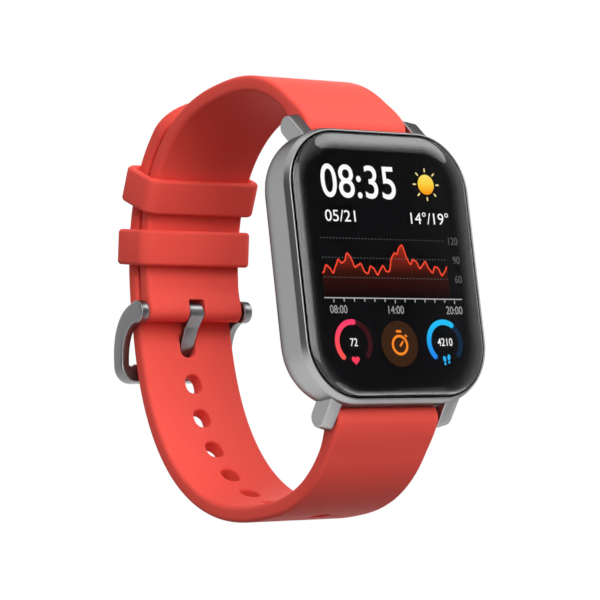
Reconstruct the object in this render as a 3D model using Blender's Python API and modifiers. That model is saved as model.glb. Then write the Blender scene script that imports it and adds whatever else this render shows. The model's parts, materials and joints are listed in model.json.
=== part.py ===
"""A square GPS running watch, buckled in a loop: metal case with four bar lugs, glass front, silicone
strap in two halves, steel tang buckle, two keepers, and the pieces inside the case.

Metres. The origin is the middle of the sensor window's outer face, where the watch meets the wrist.
+Y points into the wrist, the display faces -Y, +Z is 12 o'clock and +X is 3 o'clock. Depths are
measured from the rim of the case towards the wrist.
"""

import math

import bmesh
import bpy
import numpy as np
from mathutils import Matrix, Vector

# Case
CASE_WIDTH = 0.03625
CASE_HEIGHT = 0.04325
CASE_CORNER = 0.00975
CASE_DEPTH = 0.0087
RIM_INSET = 0.001
RIM_LIP = 0.00025
SHOULDER_DEPTH = 0.0016
WALL_END_DEPTH = 0.0046
BACK_INSET = 0.0026
BACK_FULLNESS = 1.12
WALL = 0.0026
SENSOR_RISE = 0.0012

# Clearances
SEAT_GAP = 0.0001
SLIDE_GAP = 0.00015
FIT_GAP = 0.0003

# Glass and display
GLASS_THICKNESS = 0.0012
GLASS_CROWN = 0.00075
GLASS_EDGE_CURVE = 0.0032
GASKET_WIDTH = 0.0008
GASKET_THICKNESS = 0.00035
DISPLAY_THICKNESS = 0.0011
FLEX_WIDTH = 0.008
FLEX_THICKNESS = 0.0002
FLEX_LAP = 0.0016

# Inner frame, board and what is on it
FRAME_FLOOR = 0.0007
FRAME_WALL = 0.0008
FRAME_WALL_HEIGHT = 0.0026
BOARD_THICKNESS = 0.0007
BATTERY_THICKNESS = 0.0026
BATTERY_LENGTH = 0.0160
BATTERY_EDGE = 0.0006
BATTERY_ROOM = 0.0014
BATTERY_Z = -0.0058
CAN_THICKNESS = 0.0013
CAN_LENGTH = 0.0096
CAN_EDGE = 0.0003
MOTOR_DIAMETER = 0.0080
MOTOR_THICKNESS = 0.0026
MOTOR_EDGE = 0.0003
MOTOR_GAP = 0.0008
BOARD_ROW_Z = 0.0082
ANTENNA_SIZE = (0.0180, 0.0024, 0.0016)
ANTENNA_FEED = 0.6
SCREW_DIAMETER = 0.0010
SCREW_HEAD_DIAMETER = 0.0020
SCREW_HEAD_HEIGHT = 0.0005
SCREW_HEAD_ROOM = 0.0007
SCREW_INSET = 0.0022

# Rear cover and sensor
SEAL_THICKNESS = 0.0002
SEAL_WIDTH = 0.0012
COVER_WALL = 0.0008
COVER_THICKNESS = 0.0013
ISLAND_DIAMETER = 0.0240
ISLAND_TAPER = 0.0012
WINDOW_DIAMETER = 0.0180
WINDOW_THICKNESS = 0.00085
WINDOW_ROUND = 0.0010
SENSOR_OPENING = 0.0150
SENSOR_BOARD_THICKNESS = 0.0004
LED_SIZE = (0.0022, 0.00045, 0.0016)
LED_SPACING = 0.0064
CONTACT_DIAMETER = 0.0018
CONTACT_SPACING = 0.0050
CONTACT_LENGTH = 0.0020
CONTACT_Z = -0.0145

# Side button
BUTTON_DIAMETER = 0.0039
BUTTON_PROUD = 0.0011
BUTTON_DEPTH = 0.0035
BUTTON_TRAVEL = 0.0005
BUTTON_CAP = 0.0018
STEM_DIAMETER = 0.0014
ORING_SECTION = 0.0004
CLIP_DIAMETER = 0.0032
CLIP_THICKNESS = 0.00035
STEM_NECK = 0.0009
STEM_END = 0.0004
SWITCH_SIZE = (0.0016, 0.0018, 0.0036)
SWITCH_EDGE = 0.0002

# Lugs and spring bars
LUG_WIDTH = 0.0026
LUG_RADIUS = 0.0016
LUG_ROOT_DEPTH = 0.0032
LUG_ROOT_INSET = 0.0021
BAR_DEPTH = 0.00585
BAR_OUT = 0.001625
BAR_DIAMETER = 0.0018
BAR_BORE = 0.0013
TIP_DIAMETER = 0.0008
TIP_REACH = 0.0013
RELEASE_TRAVEL = 0.0015
RELEASE_KNOB = 0.0009
RELEASE_KNOB_X = 0.0076
RELEASE_ROD = 0.0060
KNOB_RISE = 0.0008

# Strap
STRAP_WIDTH = 0.0200
STRAP_BACK_WIDTH = 0.0190
STRAP_THICKNESS = 0.0026
STRAP_EDGE = 0.0007
KNUCKLE_RADIUS = 0.0019
LAYER_GAP = 0.0004
LOOP_DEPTH = 0.0260
LOOP_TOP = 0.0339
LOOP_BOTTOM = 0.0348
LOOP_BACK = 0.0278
LOOP_POWER = 2.4
TAIL_END_DEPTH = 0.0385
TAIL_TIP = 0.0080
TAIL_TIP_ARC = 84
TAIL_TIP_STEPS = 7
HOLE_LENGTH = 0.0032
HOLE_WIDTH = 0.0026
HOLE_PITCH = 0.0065
HOLES_BELOW = 7
HOLES_ABOVE = 3
HOLE_ROUND = 0.49
TONGUE_HOLE_ROUND = 0.4
TONGUE_HOLE_REACH = 0.0042

# Keepers
KEEPER_LENGTH = 0.0064
KEEPER_WALL = 0.0014
KEEPER_EDGE = 0.0012
KEEPER_GAP = 0.00035
FIXED_KEEPER_Z = 0.0133
FREE_KEEPER_Z = 0.0220

# Buckle
PIN_DIAMETER = 0.0015
PIN_Z = 0.0026
PIN_KNUCKLE = 0.00175
ARM_WIDTH = 0.0017
ARM_THICKNESS = 0.0034
ARM_TAPER = 0.65
EYE_RADIUS = 0.0019
FRAME_REACH = 0.0070
FRAME_DROP = 0.0098
FRAME_BAR = 0.0026
FRAME_POWER = 2.3
TONGUE_WIDTH = 0.0026
TONGUE_THICKNESS = 0.0011
TONGUE_RING = 0.0016
TONGUE_LENGTH = 0.0110
TONGUE_BEND = 0.0040
TONGUE_START = (0.25, -0.6)
TONGUE_LEAN = (0.2, -1.0)
TONGUE_TAPER = 0.8

# Facets
SHARP_ANGLE = 35
CORNER_STEPS = 6
ROUND_STEPS = 24
HOLE_STEPS = 12
ORING_STEPS = 10
STATION_STEP = 0.0028

# Places that follow from the sizes above
SENSOR_DEPTH = CASE_DEPTH + SENSOR_RISE
BAR_Z = CASE_HEIGHT / 2 + BAR_OUT
LUG_INNER = STRAP_WIDTH / 2 + FIT_GAP
GLASS_BOTTOM = GLASS_THICKNESS - GLASS_CROWN
DISPLAY_TOP = GLASS_BOTTOM + SEAT_GAP
GLASS_SEAT = GLASS_BOTTOM + GASKET_THICKNESS + 2 * SEAT_GAP
GLASS_INSET = RIM_INSET + RIM_LIP + FIT_GAP
DISPLAY_BACK = DISPLAY_TOP + DISPLAY_THICKNESS
FRAME_TOP = DISPLAY_BACK + FIT_GAP
BOARD_TOP = FRAME_TOP + FRAME_FLOOR + FIT_GAP
BOARD_BACK = BOARD_TOP + BOARD_THICKNESS
COVER_TOP = CASE_DEPTH - COVER_THICKNESS
CASE_SPLIT = COVER_TOP - SEAL_THICKNESS - 2 * SEAT_GAP
FRAME_INSET = WALL + FIT_GAP
BOARD_INSET = FRAME_INSET + FRAME_WALL + FIT_GAP
PIN_DEPTH = LOOP_DEPTH + LOOP_BACK
TAIL_STEP = STRAP_THICKNESS + LAYER_GAP
BACK_STEP = PIN_KNUCKLE + LAYER_GAP + STRAP_THICKNESS / 2
SCREW_X = CASE_WIDTH / 2 - BOARD_INSET - SCREW_INSET
SCREW_Z = CASE_HEIGHT / 2 - BOARD_INSET - CASE_CORNER / 2
BOARD_ROW_X = SCREW_X - SCREW_HEAD_DIAMETER / 2 - SCREW_HEAD_ROOM
DISPLAY_INSET = max(WALL + FIT_GAP, GLASS_INSET + GASKET_WIDTH + FIT_GAP)
FLEX_ROOM = FLEX_THICKNESS + 2 * FIT_GAP
FLEX_Z = -CASE_HEIGHT / 2 + BOARD_INSET + FIT_GAP + FLEX_THICKNESS / 2
FLEX_TOP = FRAME_TOP - FIT_GAP + SEAT_GAP
FLEX_BACK = BOARD_BACK + FIT_GAP
BATTERY_TOP = BOARD_BACK + FIT_GAP

# The button's cap and stem, from its face inwards, with room to travel
BUTTON_FACE_X = CASE_WIDTH / 2 + BUTTON_PROUD
CAP_BACK_X = BUTTON_FACE_X - BUTTON_CAP
BUTTON_SEAT_X = CAP_BACK_X - BUTTON_TRAVEL - SLIDE_GAP
CAVITY_X = CASE_WIDTH / 2 - WALL
CLIP_X = CAVITY_X - FIT_GAP
STEM_END_X = CLIP_X - CLIP_THICKNESS - 2 * SLIDE_GAP - STEM_END
SWITCH_X = STEM_END_X - BUTTON_TRAVEL - FIT_GAP
SWITCH_BACK_X = SWITCH_X - SWITCH_SIZE[0]
SWITCH_TOP = FRAME_TOP + FRAME_FLOOR + SEAT_GAP + FIT_GAP
SWITCH_DEPTH = max(BUTTON_DEPTH, SWITCH_TOP + SWITCH_SIZE[1] / 2)

COLOURS = {
    "aluminium": ((0.52, 0.53, 0.55), 0.42, 0.9),
    "glass": ((0.01, 0.01, 0.012), 0.08, 0.0),
    "rubber_black": ((0.02, 0.02, 0.02), 0.7, 0.0),
    "display": ((0.006, 0.006, 0.008), 0.2, 0.0),
    "polyimide": ((0.45, 0.22, 0.04), 0.45, 0.0),
    "frame_plastic": ((0.10, 0.10, 0.11), 0.55, 0.0),
    "board_green": ((0.02, 0.13, 0.06), 0.45, 0.0),
    "tinned_steel": ((0.62, 0.62, 0.60), 0.35, 1.0),
    "battery_wrap": ((0.30, 0.31, 0.33), 0.5, 0.2),
    "ceramic": ((0.75, 0.72, 0.66), 0.5, 0.0),
    "cover_plastic": ((0.025, 0.025, 0.028), 0.5, 0.0),
    "window": ((0.008, 0.008, 0.01), 0.06, 0.0),
    "led_green": ((0.05, 0.55, 0.12), 0.3, 0.0),
    "gold": ((0.83, 0.62, 0.28), 0.3, 1.0),
    "steel": ((0.56, 0.56, 0.57), 0.3, 1.0),
    "gunmetal": ((0.26, 0.26, 0.27), 0.38, 1.0),
    "silicone_coral": ((0.90, 0.085, 0.075), 0.55, 0.0),
}


def clear_scene():
    for thing in list(bpy.data.objects):
        bpy.data.objects.remove(thing, do_unlink=True)


clear_scene()
PARTS = bpy.data.collections.new("gps_running_watch")
CUTTERS = bpy.data.collections.new("cutters")
bpy.context.scene.collection.children.link(PARTS)
bpy.context.scene.collection.children.link(CUTTERS)
MATERIALS = {}


def material(name):
    if name not in MATERIALS:
        colour, roughness, metallic = COLOURS[name]
        made = bpy.data.materials.new(name)
        made.use_nodes = True
        shader = made.node_tree.nodes["Principled BSDF"]
        shader.inputs["Base Color"].default_value = (*colour, 1.0)
        shader.inputs["Roughness"].default_value = roughness
        shader.inputs["Metallic"].default_value = metallic
        MATERIALS[name] = made
    return MATERIALS[name]


# Placing

def row_y(depth):
    """The Y of a depth below the rim."""
    return depth - SENSOR_DEPTH


def on_axis(depth, z):
    """A point on an axis that runs along X."""
    return Vector((0.0, row_y(depth), z))


def part(name, mesh, finish, origin=(0.0, 0.0, 0.0)):
    """Adds a piece to the watch, with its origin on its joint's axis where it has one."""
    mesh.transform(Matrix.Translation(-Vector(origin)))
    mesh.shade_smooth()
    mesh.set_sharp_from_angle(angle=math.radians(SHARP_ANGLE))
    mesh.materials.append(material(finish))
    made = bpy.data.objects.new(name, mesh)
    made.location = origin
    PARTS.objects.link(made)
    return made


def cutter(name, mesh):
    made = bpy.data.objects.new(name, mesh)
    made.hide_render = True
    made.display_type = "WIRE"
    CUTTERS.objects.link(made)
    return made


def boolean(target, operation, name, mesh):
    """Cuts a shape from a piece, or joins one to it."""
    modifier = target.modifiers.new(name, "BOOLEAN")
    modifier.operation = operation
    modifier.solver = "EXACT"
    modifier.object = cutter(f"{target.name}_{name}", mesh)


def cut(target, name, mesh):
    boolean(target, "DIFFERENCE", name, mesh)


def join(target, name, mesh):
    boolean(target, "UNION", name, mesh)


# Shapes

def rounded_rect(width, height, radius, steps=CORNER_STEPS):
    """The outline of a rounded rectangle about the origin, as (u, v) points."""
    points = []
    corners = ((1, 1, 0), (-1, 1, 90), (-1, -1, 180), (1, -1, 270))
    for u_sign, v_sign, start in corners:
        for step in range(steps + 1):
            angle = math.radians(start + 90 * step / steps)
            u = u_sign * (width / 2 - radius) + radius * math.cos(angle)
            v = v_sign * (height / 2 - radius) + radius * math.sin(angle)
            points.append((u, v))
    return points


def case_outline(inset):
    """The case's outline drawn in by inset, as (x, z) points."""
    return rounded_rect(CASE_WIDTH - 2 * inset, CASE_HEIGHT - 2 * inset, CASE_CORNER - inset)


def case_inset(depth):
    """How far the outside of the case is drawn in at a depth: shoulder, straight wall, curved back."""
    if depth <= SHOULDER_DEPTH:
        return RIM_INSET * (1 - depth / SHOULDER_DEPTH)
    if depth <= WALL_END_DEPTH:
        return 0.0
    curve = BACK_FULLNESS * (CASE_DEPTH - WALL_END_DEPTH)
    rise = 1 - math.sqrt(1 - ((depth - WALL_END_DEPTH) / curve) ** 2)
    full = 1 - math.sqrt(1 - BACK_FULLNESS**-2)
    return BACK_INSET * rise / full


def finished(work, name):
    bmesh.ops.recalc_face_normals(work, faces=work.faces)
    mesh = bpy.data.meshes.new(name)
    work.to_mesh(mesh)
    work.free()
    return mesh


def loft(name, rings):
    """A closed solid through rings of equally many points."""
    work = bmesh.new()
    made = [[work.verts.new(point) for point in ring] for ring in rings]
    count = len(made[0])
    for first, second in zip(made, made[1:]):
        for i in range(count):
            j = (i + 1) % count
            work.faces.new((first[i], first[j], second[j], second[i]))
    work.faces.new(made[0])
    work.faces.new(made[-1])
    return finished(work, name)


def case_rings(levels):
    """Rings for a loft from (depth, inset) pairs."""
    return [[(x, row_y(depth), z) for x, z in case_outline(inset)] for depth, inset in levels]


def case_slab(name, inset, top, back):
    return loft(name, case_rings(((top, inset), (back, inset))))


def flat_solid(name, outlines, low, high, facing):
    """A flat outline, with any holes, extruded from low to high along X or Y."""
    curve = bpy.data.curves.new(name, "CURVE")
    curve.dimensions = "2D"
    curve.fill_mode = "BOTH"
    curve.extrude = (high - low) / 2
    for outline in outlines:
        spline = curve.splines.new("POLY")
        spline.points.add(len(outline) - 1)
        spline.use_cyclic_u = True
        for point, (u, v) in zip(spline.points, outline):
            point.co = (u, v, 0.0, 1.0)
    holder = bpy.data.objects.new(name, curve)
    bpy.context.scene.collection.objects.link(holder)
    graph = bpy.context.evaluated_depsgraph_get()
    mesh = bpy.data.meshes.new_from_object(holder.evaluated_get(graph))
    bpy.data.objects.remove(holder, do_unlink=True)
    bpy.data.curves.remove(curve)
    middle = (low + high) / 2
    if facing == "Y":
        turn = Matrix.Translation((0, middle, 0)) @ Matrix.Rotation(math.radians(90), 4, "X")
    else:
        turn = Matrix(((0, 0, 1, middle), (1, 0, 0, 0), (0, 1, 0, 0), (0, 0, 0, 1)))
    work = bmesh.new()
    work.from_mesh(mesh)
    bpy.data.meshes.remove(mesh)
    bmesh.ops.remove_doubles(work, verts=work.verts, dist=1e-7)
    bmesh.ops.transform(work, matrix=turn, verts=work.verts)
    return finished(work, name)


def plate(name, outlines, top, back):
    """A flat piece that lies across the case between two depths."""
    return flat_solid(name, outlines, row_y(top), row_y(back), "Y")


def block(name, size, centre, edge=0.0):
    """A box with its edges rounded off."""
    work = bmesh.new()
    bmesh.ops.create_cube(work, size=1.0)
    bmesh.ops.scale(work, vec=size, verts=work.verts)
    if edge:
        bmesh.ops.bevel(work, geom=work.edges, offset=edge, segments=2, profile=0.5, affect="EDGES")
    bmesh.ops.translate(work, vec=centre, verts=work.verts)
    return finished(work, name)


def rod(name, radius, x_low, x_high, centre, steps=ROUND_STEPS):
    """A cylinder along X, about a line through centre."""
    work = bmesh.new()
    turn = Matrix.Translation((((x_low + x_high) / 2), centre[1], centre[2]))
    turn = turn @ Matrix.Rotation(math.radians(90), 4, "Y")
    bmesh.ops.create_cone(
        work, cap_ends=True, segments=steps, radius1=radius, radius2=radius,
        depth=x_high - x_low, matrix=turn,
    )
    return finished(work, name)


def turned(name, profile, axis, place=(0.0, 0.0, 0.0)):
    """A turned shape from (radius, height) points, top to bottom, about X or Y through place."""
    mesh = bpy.data.meshes.new(name)
    points = [(radius, 0.0, height) for radius, height in profile]
    mesh.from_pydata(points, [(i, i + 1) for i in range(len(points) - 1)], [])
    holder = bpy.data.objects.new(name, mesh)
    bpy.context.scene.collection.objects.link(holder)
    screw = holder.modifiers.new("turn", "SCREW")
    screw.steps = ROUND_STEPS
    screw.render_steps = ROUND_STEPS
    screw.use_merge_vertices = True
    screw.merge_threshold = 1e-6
    graph = bpy.context.evaluated_depsgraph_get()
    solid = bpy.data.meshes.new_from_object(holder.evaluated_get(graph))
    bpy.data.objects.remove(holder, do_unlink=True)
    bpy.data.meshes.remove(mesh)
    work = bmesh.new()
    work.from_mesh(solid)
    bpy.data.meshes.remove(solid)
    bmesh.ops.remove_doubles(work, verts=work.verts, dist=1e-7)
    around = Matrix.Rotation(math.radians(90), 4, "Y")
    if axis == "Y":
        around = Matrix.Rotation(math.radians(-90), 4, "X")
    bmesh.ops.transform(work, matrix=Matrix.Translation(place) @ around, verts=work.verts)
    return finished(work, name)


# The strap's path, in (depth, z)

def quarter(reach_depth, reach_z, count=240):
    """A quarter of the loop's superellipse, from its side to its top or bottom."""
    angles = np.linspace(0.0, math.pi / 2, count)
    depth = LOOP_DEPTH + reach_depth * np.cos(angles) ** (2 / LOOP_POWER)
    z = reach_z * np.sin(angles) ** (2 / LOOP_POWER)
    return np.stack((depth, z), axis=1)


def front_reach(reach_z):
    """The loop's reach towards the display that takes it through the spring bar."""
    share = 1 - (BAR_Z / abs(reach_z)) ** LOOP_POWER
    return (LOOP_DEPTH - BAR_DEPTH) / share ** (1 / LOOP_POWER)


def upper_path():
    """Middle of the upper strap, from its spring bar to the buckle pin."""
    front = quarter(-front_reach(LOOP_TOP), LOOP_TOP)
    back = quarter(LOOP_BACK, LOOP_TOP)[::-1]
    front = front[front[:, 1] > BAR_Z]
    back = back[back[:, 1] > PIN_Z]
    ends = ((BAR_DEPTH, BAR_Z),), ((PIN_DEPTH, PIN_Z),)
    return np.concatenate((ends[0], front, back[1:], ends[1]))


def lower_path():
    """Middle of the lower strap, from its spring bar round the wrist to the tip of the tail."""
    front = quarter(-front_reach(LOOP_BOTTOM), -LOOP_BOTTOM)
    under = quarter(LOOP_BACK + BACK_STEP, -LOOP_BOTTOM)[::-1]
    tail = quarter(LOOP_BACK + BACK_STEP, LOOP_TOP + TAIL_STEP)
    front = front[front[:, 1] < -BAR_Z]
    tail = tail[tail[:, 0] > TAIL_END_DEPTH]
    return np.concatenate((((BAR_DEPTH, -BAR_Z),), front, under[1:], tail[1:]))


def lengths(path):
    """Distance along a path at each of its points."""
    steps = np.hypot(*np.diff(path, axis=0).T)
    return np.concatenate(((0.0,), np.cumsum(steps)))


def station(path, along):
    """Point, direction and outward normal of a path at a distance along it."""
    run = lengths(path)
    ahead = np.clip((along - 2e-4, along, along + 2e-4), 0.0, run[-1])
    depth = np.interp(ahead, run, path[:, 0])
    z = np.interp(ahead, run, path[:, 1])
    direction = np.array((depth[2] - depth[0], z[2] - z[0]))
    direction /= np.linalg.norm(direction)
    normal = np.array((-direction[1], direction[0]))
    point = np.array((depth[1], z[1]))
    if np.dot(normal, point - (LOOP_DEPTH, 0.0)) < 0:
        normal = -normal
    return point, direction, normal


def along_at(path, z, deep=True):
    """Distance along a path where it reaches a height on the back or on the front of the loop."""
    side = (path[:, 0] > LOOP_DEPTH) == deep
    nearest = np.argmin(np.where(side, np.abs(path[:, 1] - z), 1.0))
    return lengths(path)[nearest]


def section_ring(path, along, outline, out=0.0):
    """An outline in (x, outward) set square on a path."""
    point, _, normal = station(path, along)
    ring = []
    for x, rise in outline:
        depth, z = point + normal * (rise + out)
        ring.append((x, row_y(depth), z))
    return ring


UPPER = upper_path()
LOWER = lower_path()
UPPER_LENGTH = lengths(UPPER)[-1]
LOWER_LENGTH = lengths(LOWER)[-1]
BUCKLE_ALONG = along_at(LOWER, 0.0)


def strap_width(share):
    return STRAP_WIDTH + (STRAP_BACK_WIDTH - STRAP_WIDTH) * min(share, 1.0)


def strap_outline(width):
    edge = min(STRAP_EDGE, 0.45 * width)
    return rounded_rect(width, STRAP_THICKNESS, edge, steps=2)


def upper_strap_rings():
    count = int(UPPER_LENGTH / STATION_STEP)
    rings = []
    for i in range(count + 1):
        along = UPPER_LENGTH * i / count
        rings.append(section_ring(UPPER, along, strap_outline(strap_width(along / UPPER_LENGTH))))
    return rings


def lower_strap_rings():
    """Even stations, then closer ones round the tip of the tail."""
    body = LOWER_LENGTH - TAIL_TIP
    count = int(body / STATION_STEP)
    stops = [(body * i / count, 1.0) for i in range(count + 1)]
    for i in range(1, TAIL_TIP_STEPS + 1):
        angle = math.radians(TAIL_TIP_ARC * i / TAIL_TIP_STEPS)
        stops.append((body + TAIL_TIP * math.sin(angle), math.cos(angle)))
    rings = []
    for along, share in stops:
        width = strap_width(along / BUCKLE_ALONG) * share
        rings.append(section_ring(LOWER, along, strap_outline(width)))
    return rings


def knuckle(name, radius, width, depth, z):
    inset = FIT_GAP / 3
    return rod(name, radius, -width / 2 + inset, width / 2 - inset, on_axis(depth, z))


# Case

def build_case():
    depths = (0.0, SHOULDER_DEPTH, WALL_END_DEPTH)
    curved = [WALL_END_DEPTH + (CASE_SPLIT - WALL_END_DEPTH) * i / 4 for i in range(1, 5)]
    levels = [(depth, case_inset(depth)) for depth in (*depths, *curved)]
    case = part("case_frame", loft("case_frame", case_rings(levels)), "aluminium")
    for side, z in (("top", BAR_Z), ("bottom", -BAR_Z)):
        reach = LUG_INNER + FIT_GAP
        recess = rod("recess", KNUCKLE_RADIUS + FIT_GAP, -reach, reach, on_axis(BAR_DEPTH, z))
        cut(case, f"strap_recess_{side}", recess)
    for side, z_sign in (("top", 1), ("bottom", -1)):
        for hand, x_sign in (("left", -1), ("right", 1)):
            join(case, f"lug_{side}_{hand}", lug(x_sign, z_sign))
    cut(case, "glass_recess", case_slab("recess", RIM_INSET + RIM_LIP, -WALL, GLASS_SEAT))
    cut(case, "cavity", case_slab("cavity", WALL, GLASS_SEAT / 2, CASE_DEPTH))
    for side, z in (("top", BAR_Z), ("bottom", -BAR_Z)):
        hole = TIP_DIAMETER / 2 + SLIDE_GAP
        for hand, x_sign in (("left", -1), ("right", 1)):
            mouth = x_sign * (LUG_INNER - FIT_GAP)
            bottom = x_sign * (LUG_INNER + TIP_REACH + FIT_GAP)
            ends = sorted((mouth, bottom))
            socket = rod("hole", hole, *ends, on_axis(BAR_DEPTH, z), steps=16)
            cut(case, f"bar_hole_{side}_{hand}", socket)
    axis = on_axis(BUTTON_DEPTH, 0.0)
    bore = STEM_DIAMETER / 2 + ORING_SECTION + 2 * SLIDE_GAP
    cut(case, "stem_bore", rod("bore", bore, BUTTON_SEAT_X - WALL, CASE_WIDTH, axis))
    counterbore = BUTTON_DIAMETER / 2 + FIT_GAP
    cut(case, "button_recess", rod("recess", counterbore, BUTTON_SEAT_X, CASE_WIDTH, axis))


def lug(x_sign, z_sign):
    """A straight bar with a round end, from inside the case wall to the spring bar."""
    root = np.array((LUG_ROOT_DEPTH, CASE_HEIGHT / 2 - LUG_ROOT_INSET))
    end = np.array((BAR_DEPTH, BAR_Z))
    lean = math.atan2(end[1] - root[1], end[0] - root[0])
    outline = []
    for centre, start in ((end, lean - math.pi / 2), (root, lean + math.pi / 2)):
        for step in range(9):
            angle = start + math.pi * step / 8
            depth = centre[0] + LUG_RADIUS * math.cos(angle)
            z = centre[1] + LUG_RADIUS * math.sin(angle)
            outline.append((row_y(depth), z_sign * z))
    low, high = sorted((x_sign * LUG_INNER, x_sign * (LUG_INNER + LUG_WIDTH)))
    return flat_solid("lug", (outline,), low, high, "X")


def build_front():
    edge = []
    for step in range(6):
        angle = math.radians(90 * step / 5)
        inset = GLASS_INSET + GLASS_EDGE_CURVE * (1 - math.cos(angle))
        edge.append((-GLASS_CROWN * math.sin(angle), inset))
    levels = [(GLASS_BOTTOM, GLASS_INSET), *edge]
    part("front_glass", loft("front_glass", case_rings(levels)), "glass")
    outer = case_outline(GLASS_INSET)
    inner = case_outline(GLASS_INSET + GASKET_WIDTH)
    top = GLASS_BOTTOM + SEAT_GAP
    ring = plate("glass_gasket", (outer, inner), top, top + GASKET_THICKNESS)
    part("glass_gasket", ring, "rubber_black")
    panel = case_slab("display_panel", DISPLAY_INSET, DISPLAY_TOP, DISPLAY_BACK)
    part("display_panel", panel, "display")


def build_inside():
    frame_back = FRAME_TOP + FRAME_FLOOR + FRAME_WALL_HEIGHT
    tray = case_slab("inner_frame", FRAME_INSET, FRAME_TOP, frame_back)
    frame = part("inner_frame", tray, "frame_plastic")
    pocket_inset = FRAME_INSET + FRAME_WALL
    pocket = case_slab("pocket", pocket_inset, FRAME_TOP + FRAME_FLOOR, frame_back + WALL)
    cut(frame, "pocket", pocket)
    flex_slot = (FLEX_WIDTH + 2 * FIT_GAP, CASE_DEPTH, FLEX_ROOM)
    cut(frame, "flex_slot", block("slot", flex_slot, (0.0, row_y(FRAME_TOP), FLEX_Z)))
    notch_x = SWITCH_BACK_X - FIT_GAP + CASE_WIDTH / 2
    notch = (CASE_WIDTH, CASE_DEPTH, SWITCH_SIZE[2] + 2 * FIT_GAP)
    notch_y = row_y(FRAME_TOP + FRAME_FLOOR + SEAT_GAP) + CASE_DEPTH / 2
    cut(frame, "switch_notch", block("notch", notch, (notch_x, notch_y, 0.0)))
    stem_size = (CASE_WIDTH, 2 * CASE_DEPTH, CLIP_DIAMETER + 2 * FIT_GAP)
    stem_place = (SWITCH_X + CASE_WIDTH / 2, row_y(FRAME_TOP), 0.0)
    cut(frame, "stem_notch", block("notch", stem_size, stem_place))

    card = case_slab("main_board", BOARD_INSET, BOARD_TOP, BOARD_BACK)
    board = part("main_board", card, "board_green")
    flex_place = (0.0, row_y(BOARD_TOP), FLEX_Z - FIT_GAP)
    cut(board, "flex_slot", block("slot", flex_slot, flex_place))
    cut(board, "switch_notch", block("notch", notch, (notch_x, row_y(BOARD_TOP), 0.0)))

    hole = SCREW_DIAMETER / 2 + SLIDE_GAP
    places = [(x * SCREW_X, z * SCREW_Z) for x in (-1, 1) for z in (-1, 1)]
    for number, (x, z) in enumerate(places, start=1):
        cut(frame, f"screw_hole_{number}", hole_through(x, z, hole))
        cut(board, f"screw_hole_{number}", hole_through(x, z, hole))
        part(f"board_screw_{number}", screw(x, z), "steel")

    battery_size = (2 * (SWITCH_BACK_X - BATTERY_ROOM), BATTERY_THICKNESS, BATTERY_LENGTH)
    battery_y = row_y(BATTERY_TOP) + BATTERY_THICKNESS / 2
    cell = block("battery", battery_size, (0.0, battery_y, BATTERY_Z), BATTERY_EDGE)
    part("battery", cell, "battery_wrap")
    build_board_row()
    antenna_z = CASE_HEIGHT / 2 - BOARD_INSET - ANTENNA_SIZE[2] / 2 - FIT_GAP
    antenna_y = row_y(BOARD_BACK + SEAT_GAP) + ANTENNA_SIZE[1] / 2
    bar = block("gps_antenna", ANTENNA_SIZE, (0.0, antenna_y, antenna_z))
    antenna = part("gps_antenna", bar, "ceramic")
    bridge = (ANTENNA_FEED * ANTENNA_SIZE[0], ANTENNA_SIZE[1], 2 * ANTENNA_SIZE[2])
    bridge_y = antenna_y - ANTENNA_SIZE[1] / 2
    cut(antenna, "feed_gap", block("gap", bridge, (0.0, bridge_y, antenna_z)))
    part("display_flex", flex(), "polyimide")


def build_board_row():
    """The vibration motor and, filling the rest of the row between the screw heads, the shield can."""
    low = row_y(BOARD_BACK + SEAT_GAP)
    radius = MOTOR_DIAMETER / 2
    motor_x = BOARD_ROW_X - radius
    profile = (
        (0.0, low + MOTOR_THICKNESS), (radius - MOTOR_EDGE, low + MOTOR_THICKNESS),
        (radius, low + MOTOR_THICKNESS - MOTOR_EDGE), (radius, low), (0.0, low),
    )
    motor = turned("vibration_motor", profile, "Y", (motor_x, 0.0, BOARD_ROW_Z))
    part("vibration_motor", motor, "steel")
    can_end = motor_x - radius - MOTOR_GAP
    size = (can_end + BOARD_ROW_X, CAN_THICKNESS, CAN_LENGTH)
    centre = ((can_end - BOARD_ROW_X) / 2, low + CAN_THICKNESS / 2, BOARD_ROW_Z)
    part("shield_can", block("shield_can", size, centre, CAN_EDGE), "tinned_steel")


def hole_through(x, z, radius):
    angles = [math.tau * i / HOLE_STEPS for i in range(HOLE_STEPS)]
    ring = [(x + radius * math.cos(angle), z + radius * math.sin(angle)) for angle in angles]
    return plate("hole", (ring,), -CASE_DEPTH, CASE_DEPTH)


def screw(x, z):
    """A pan-head screw from the back of the board into the inner frame."""
    head_top = row_y(BOARD_BACK + SEAT_GAP)
    head = SCREW_HEAD_DIAMETER / 2
    back = head_top + SCREW_HEAD_HEIGHT
    tip = row_y(FRAME_TOP + SEAT_GAP)
    profile = (
        (0.0, back), (0.7 * head, back), (head, back - 0.4 * SCREW_HEAD_HEIGHT), (head, head_top),
        (SCREW_DIAMETER / 2, head_top), (SCREW_DIAMETER / 2, tip), (0.0, tip),
    )
    return turned("board_screw", profile, "Y", (x, 0.0, z))


def flex():
    """The ribbon from under the display through the frame and the board's edge, lapped on the board."""
    half = FLEX_THICKNESS / 2
    inner, outer = FLEX_Z + half, FLEX_Z - half
    lap = FLEX_Z + FLEX_LAP
    top, under = row_y(FLEX_TOP), row_y(FLEX_TOP) + half
    over, back = row_y(FLEX_BACK), row_y(FLEX_BACK) + FLEX_THICKNESS
    outline = (
        (top, lap), (top, outer), (back, outer), (back, lap),
        (over, lap), (over, inner), (under, inner), (under, lap),
    )
    return flat_solid("display_flex", (outline,), -FLEX_WIDTH / 2, FLEX_WIDTH / 2, "X")


# Back of the case

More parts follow.
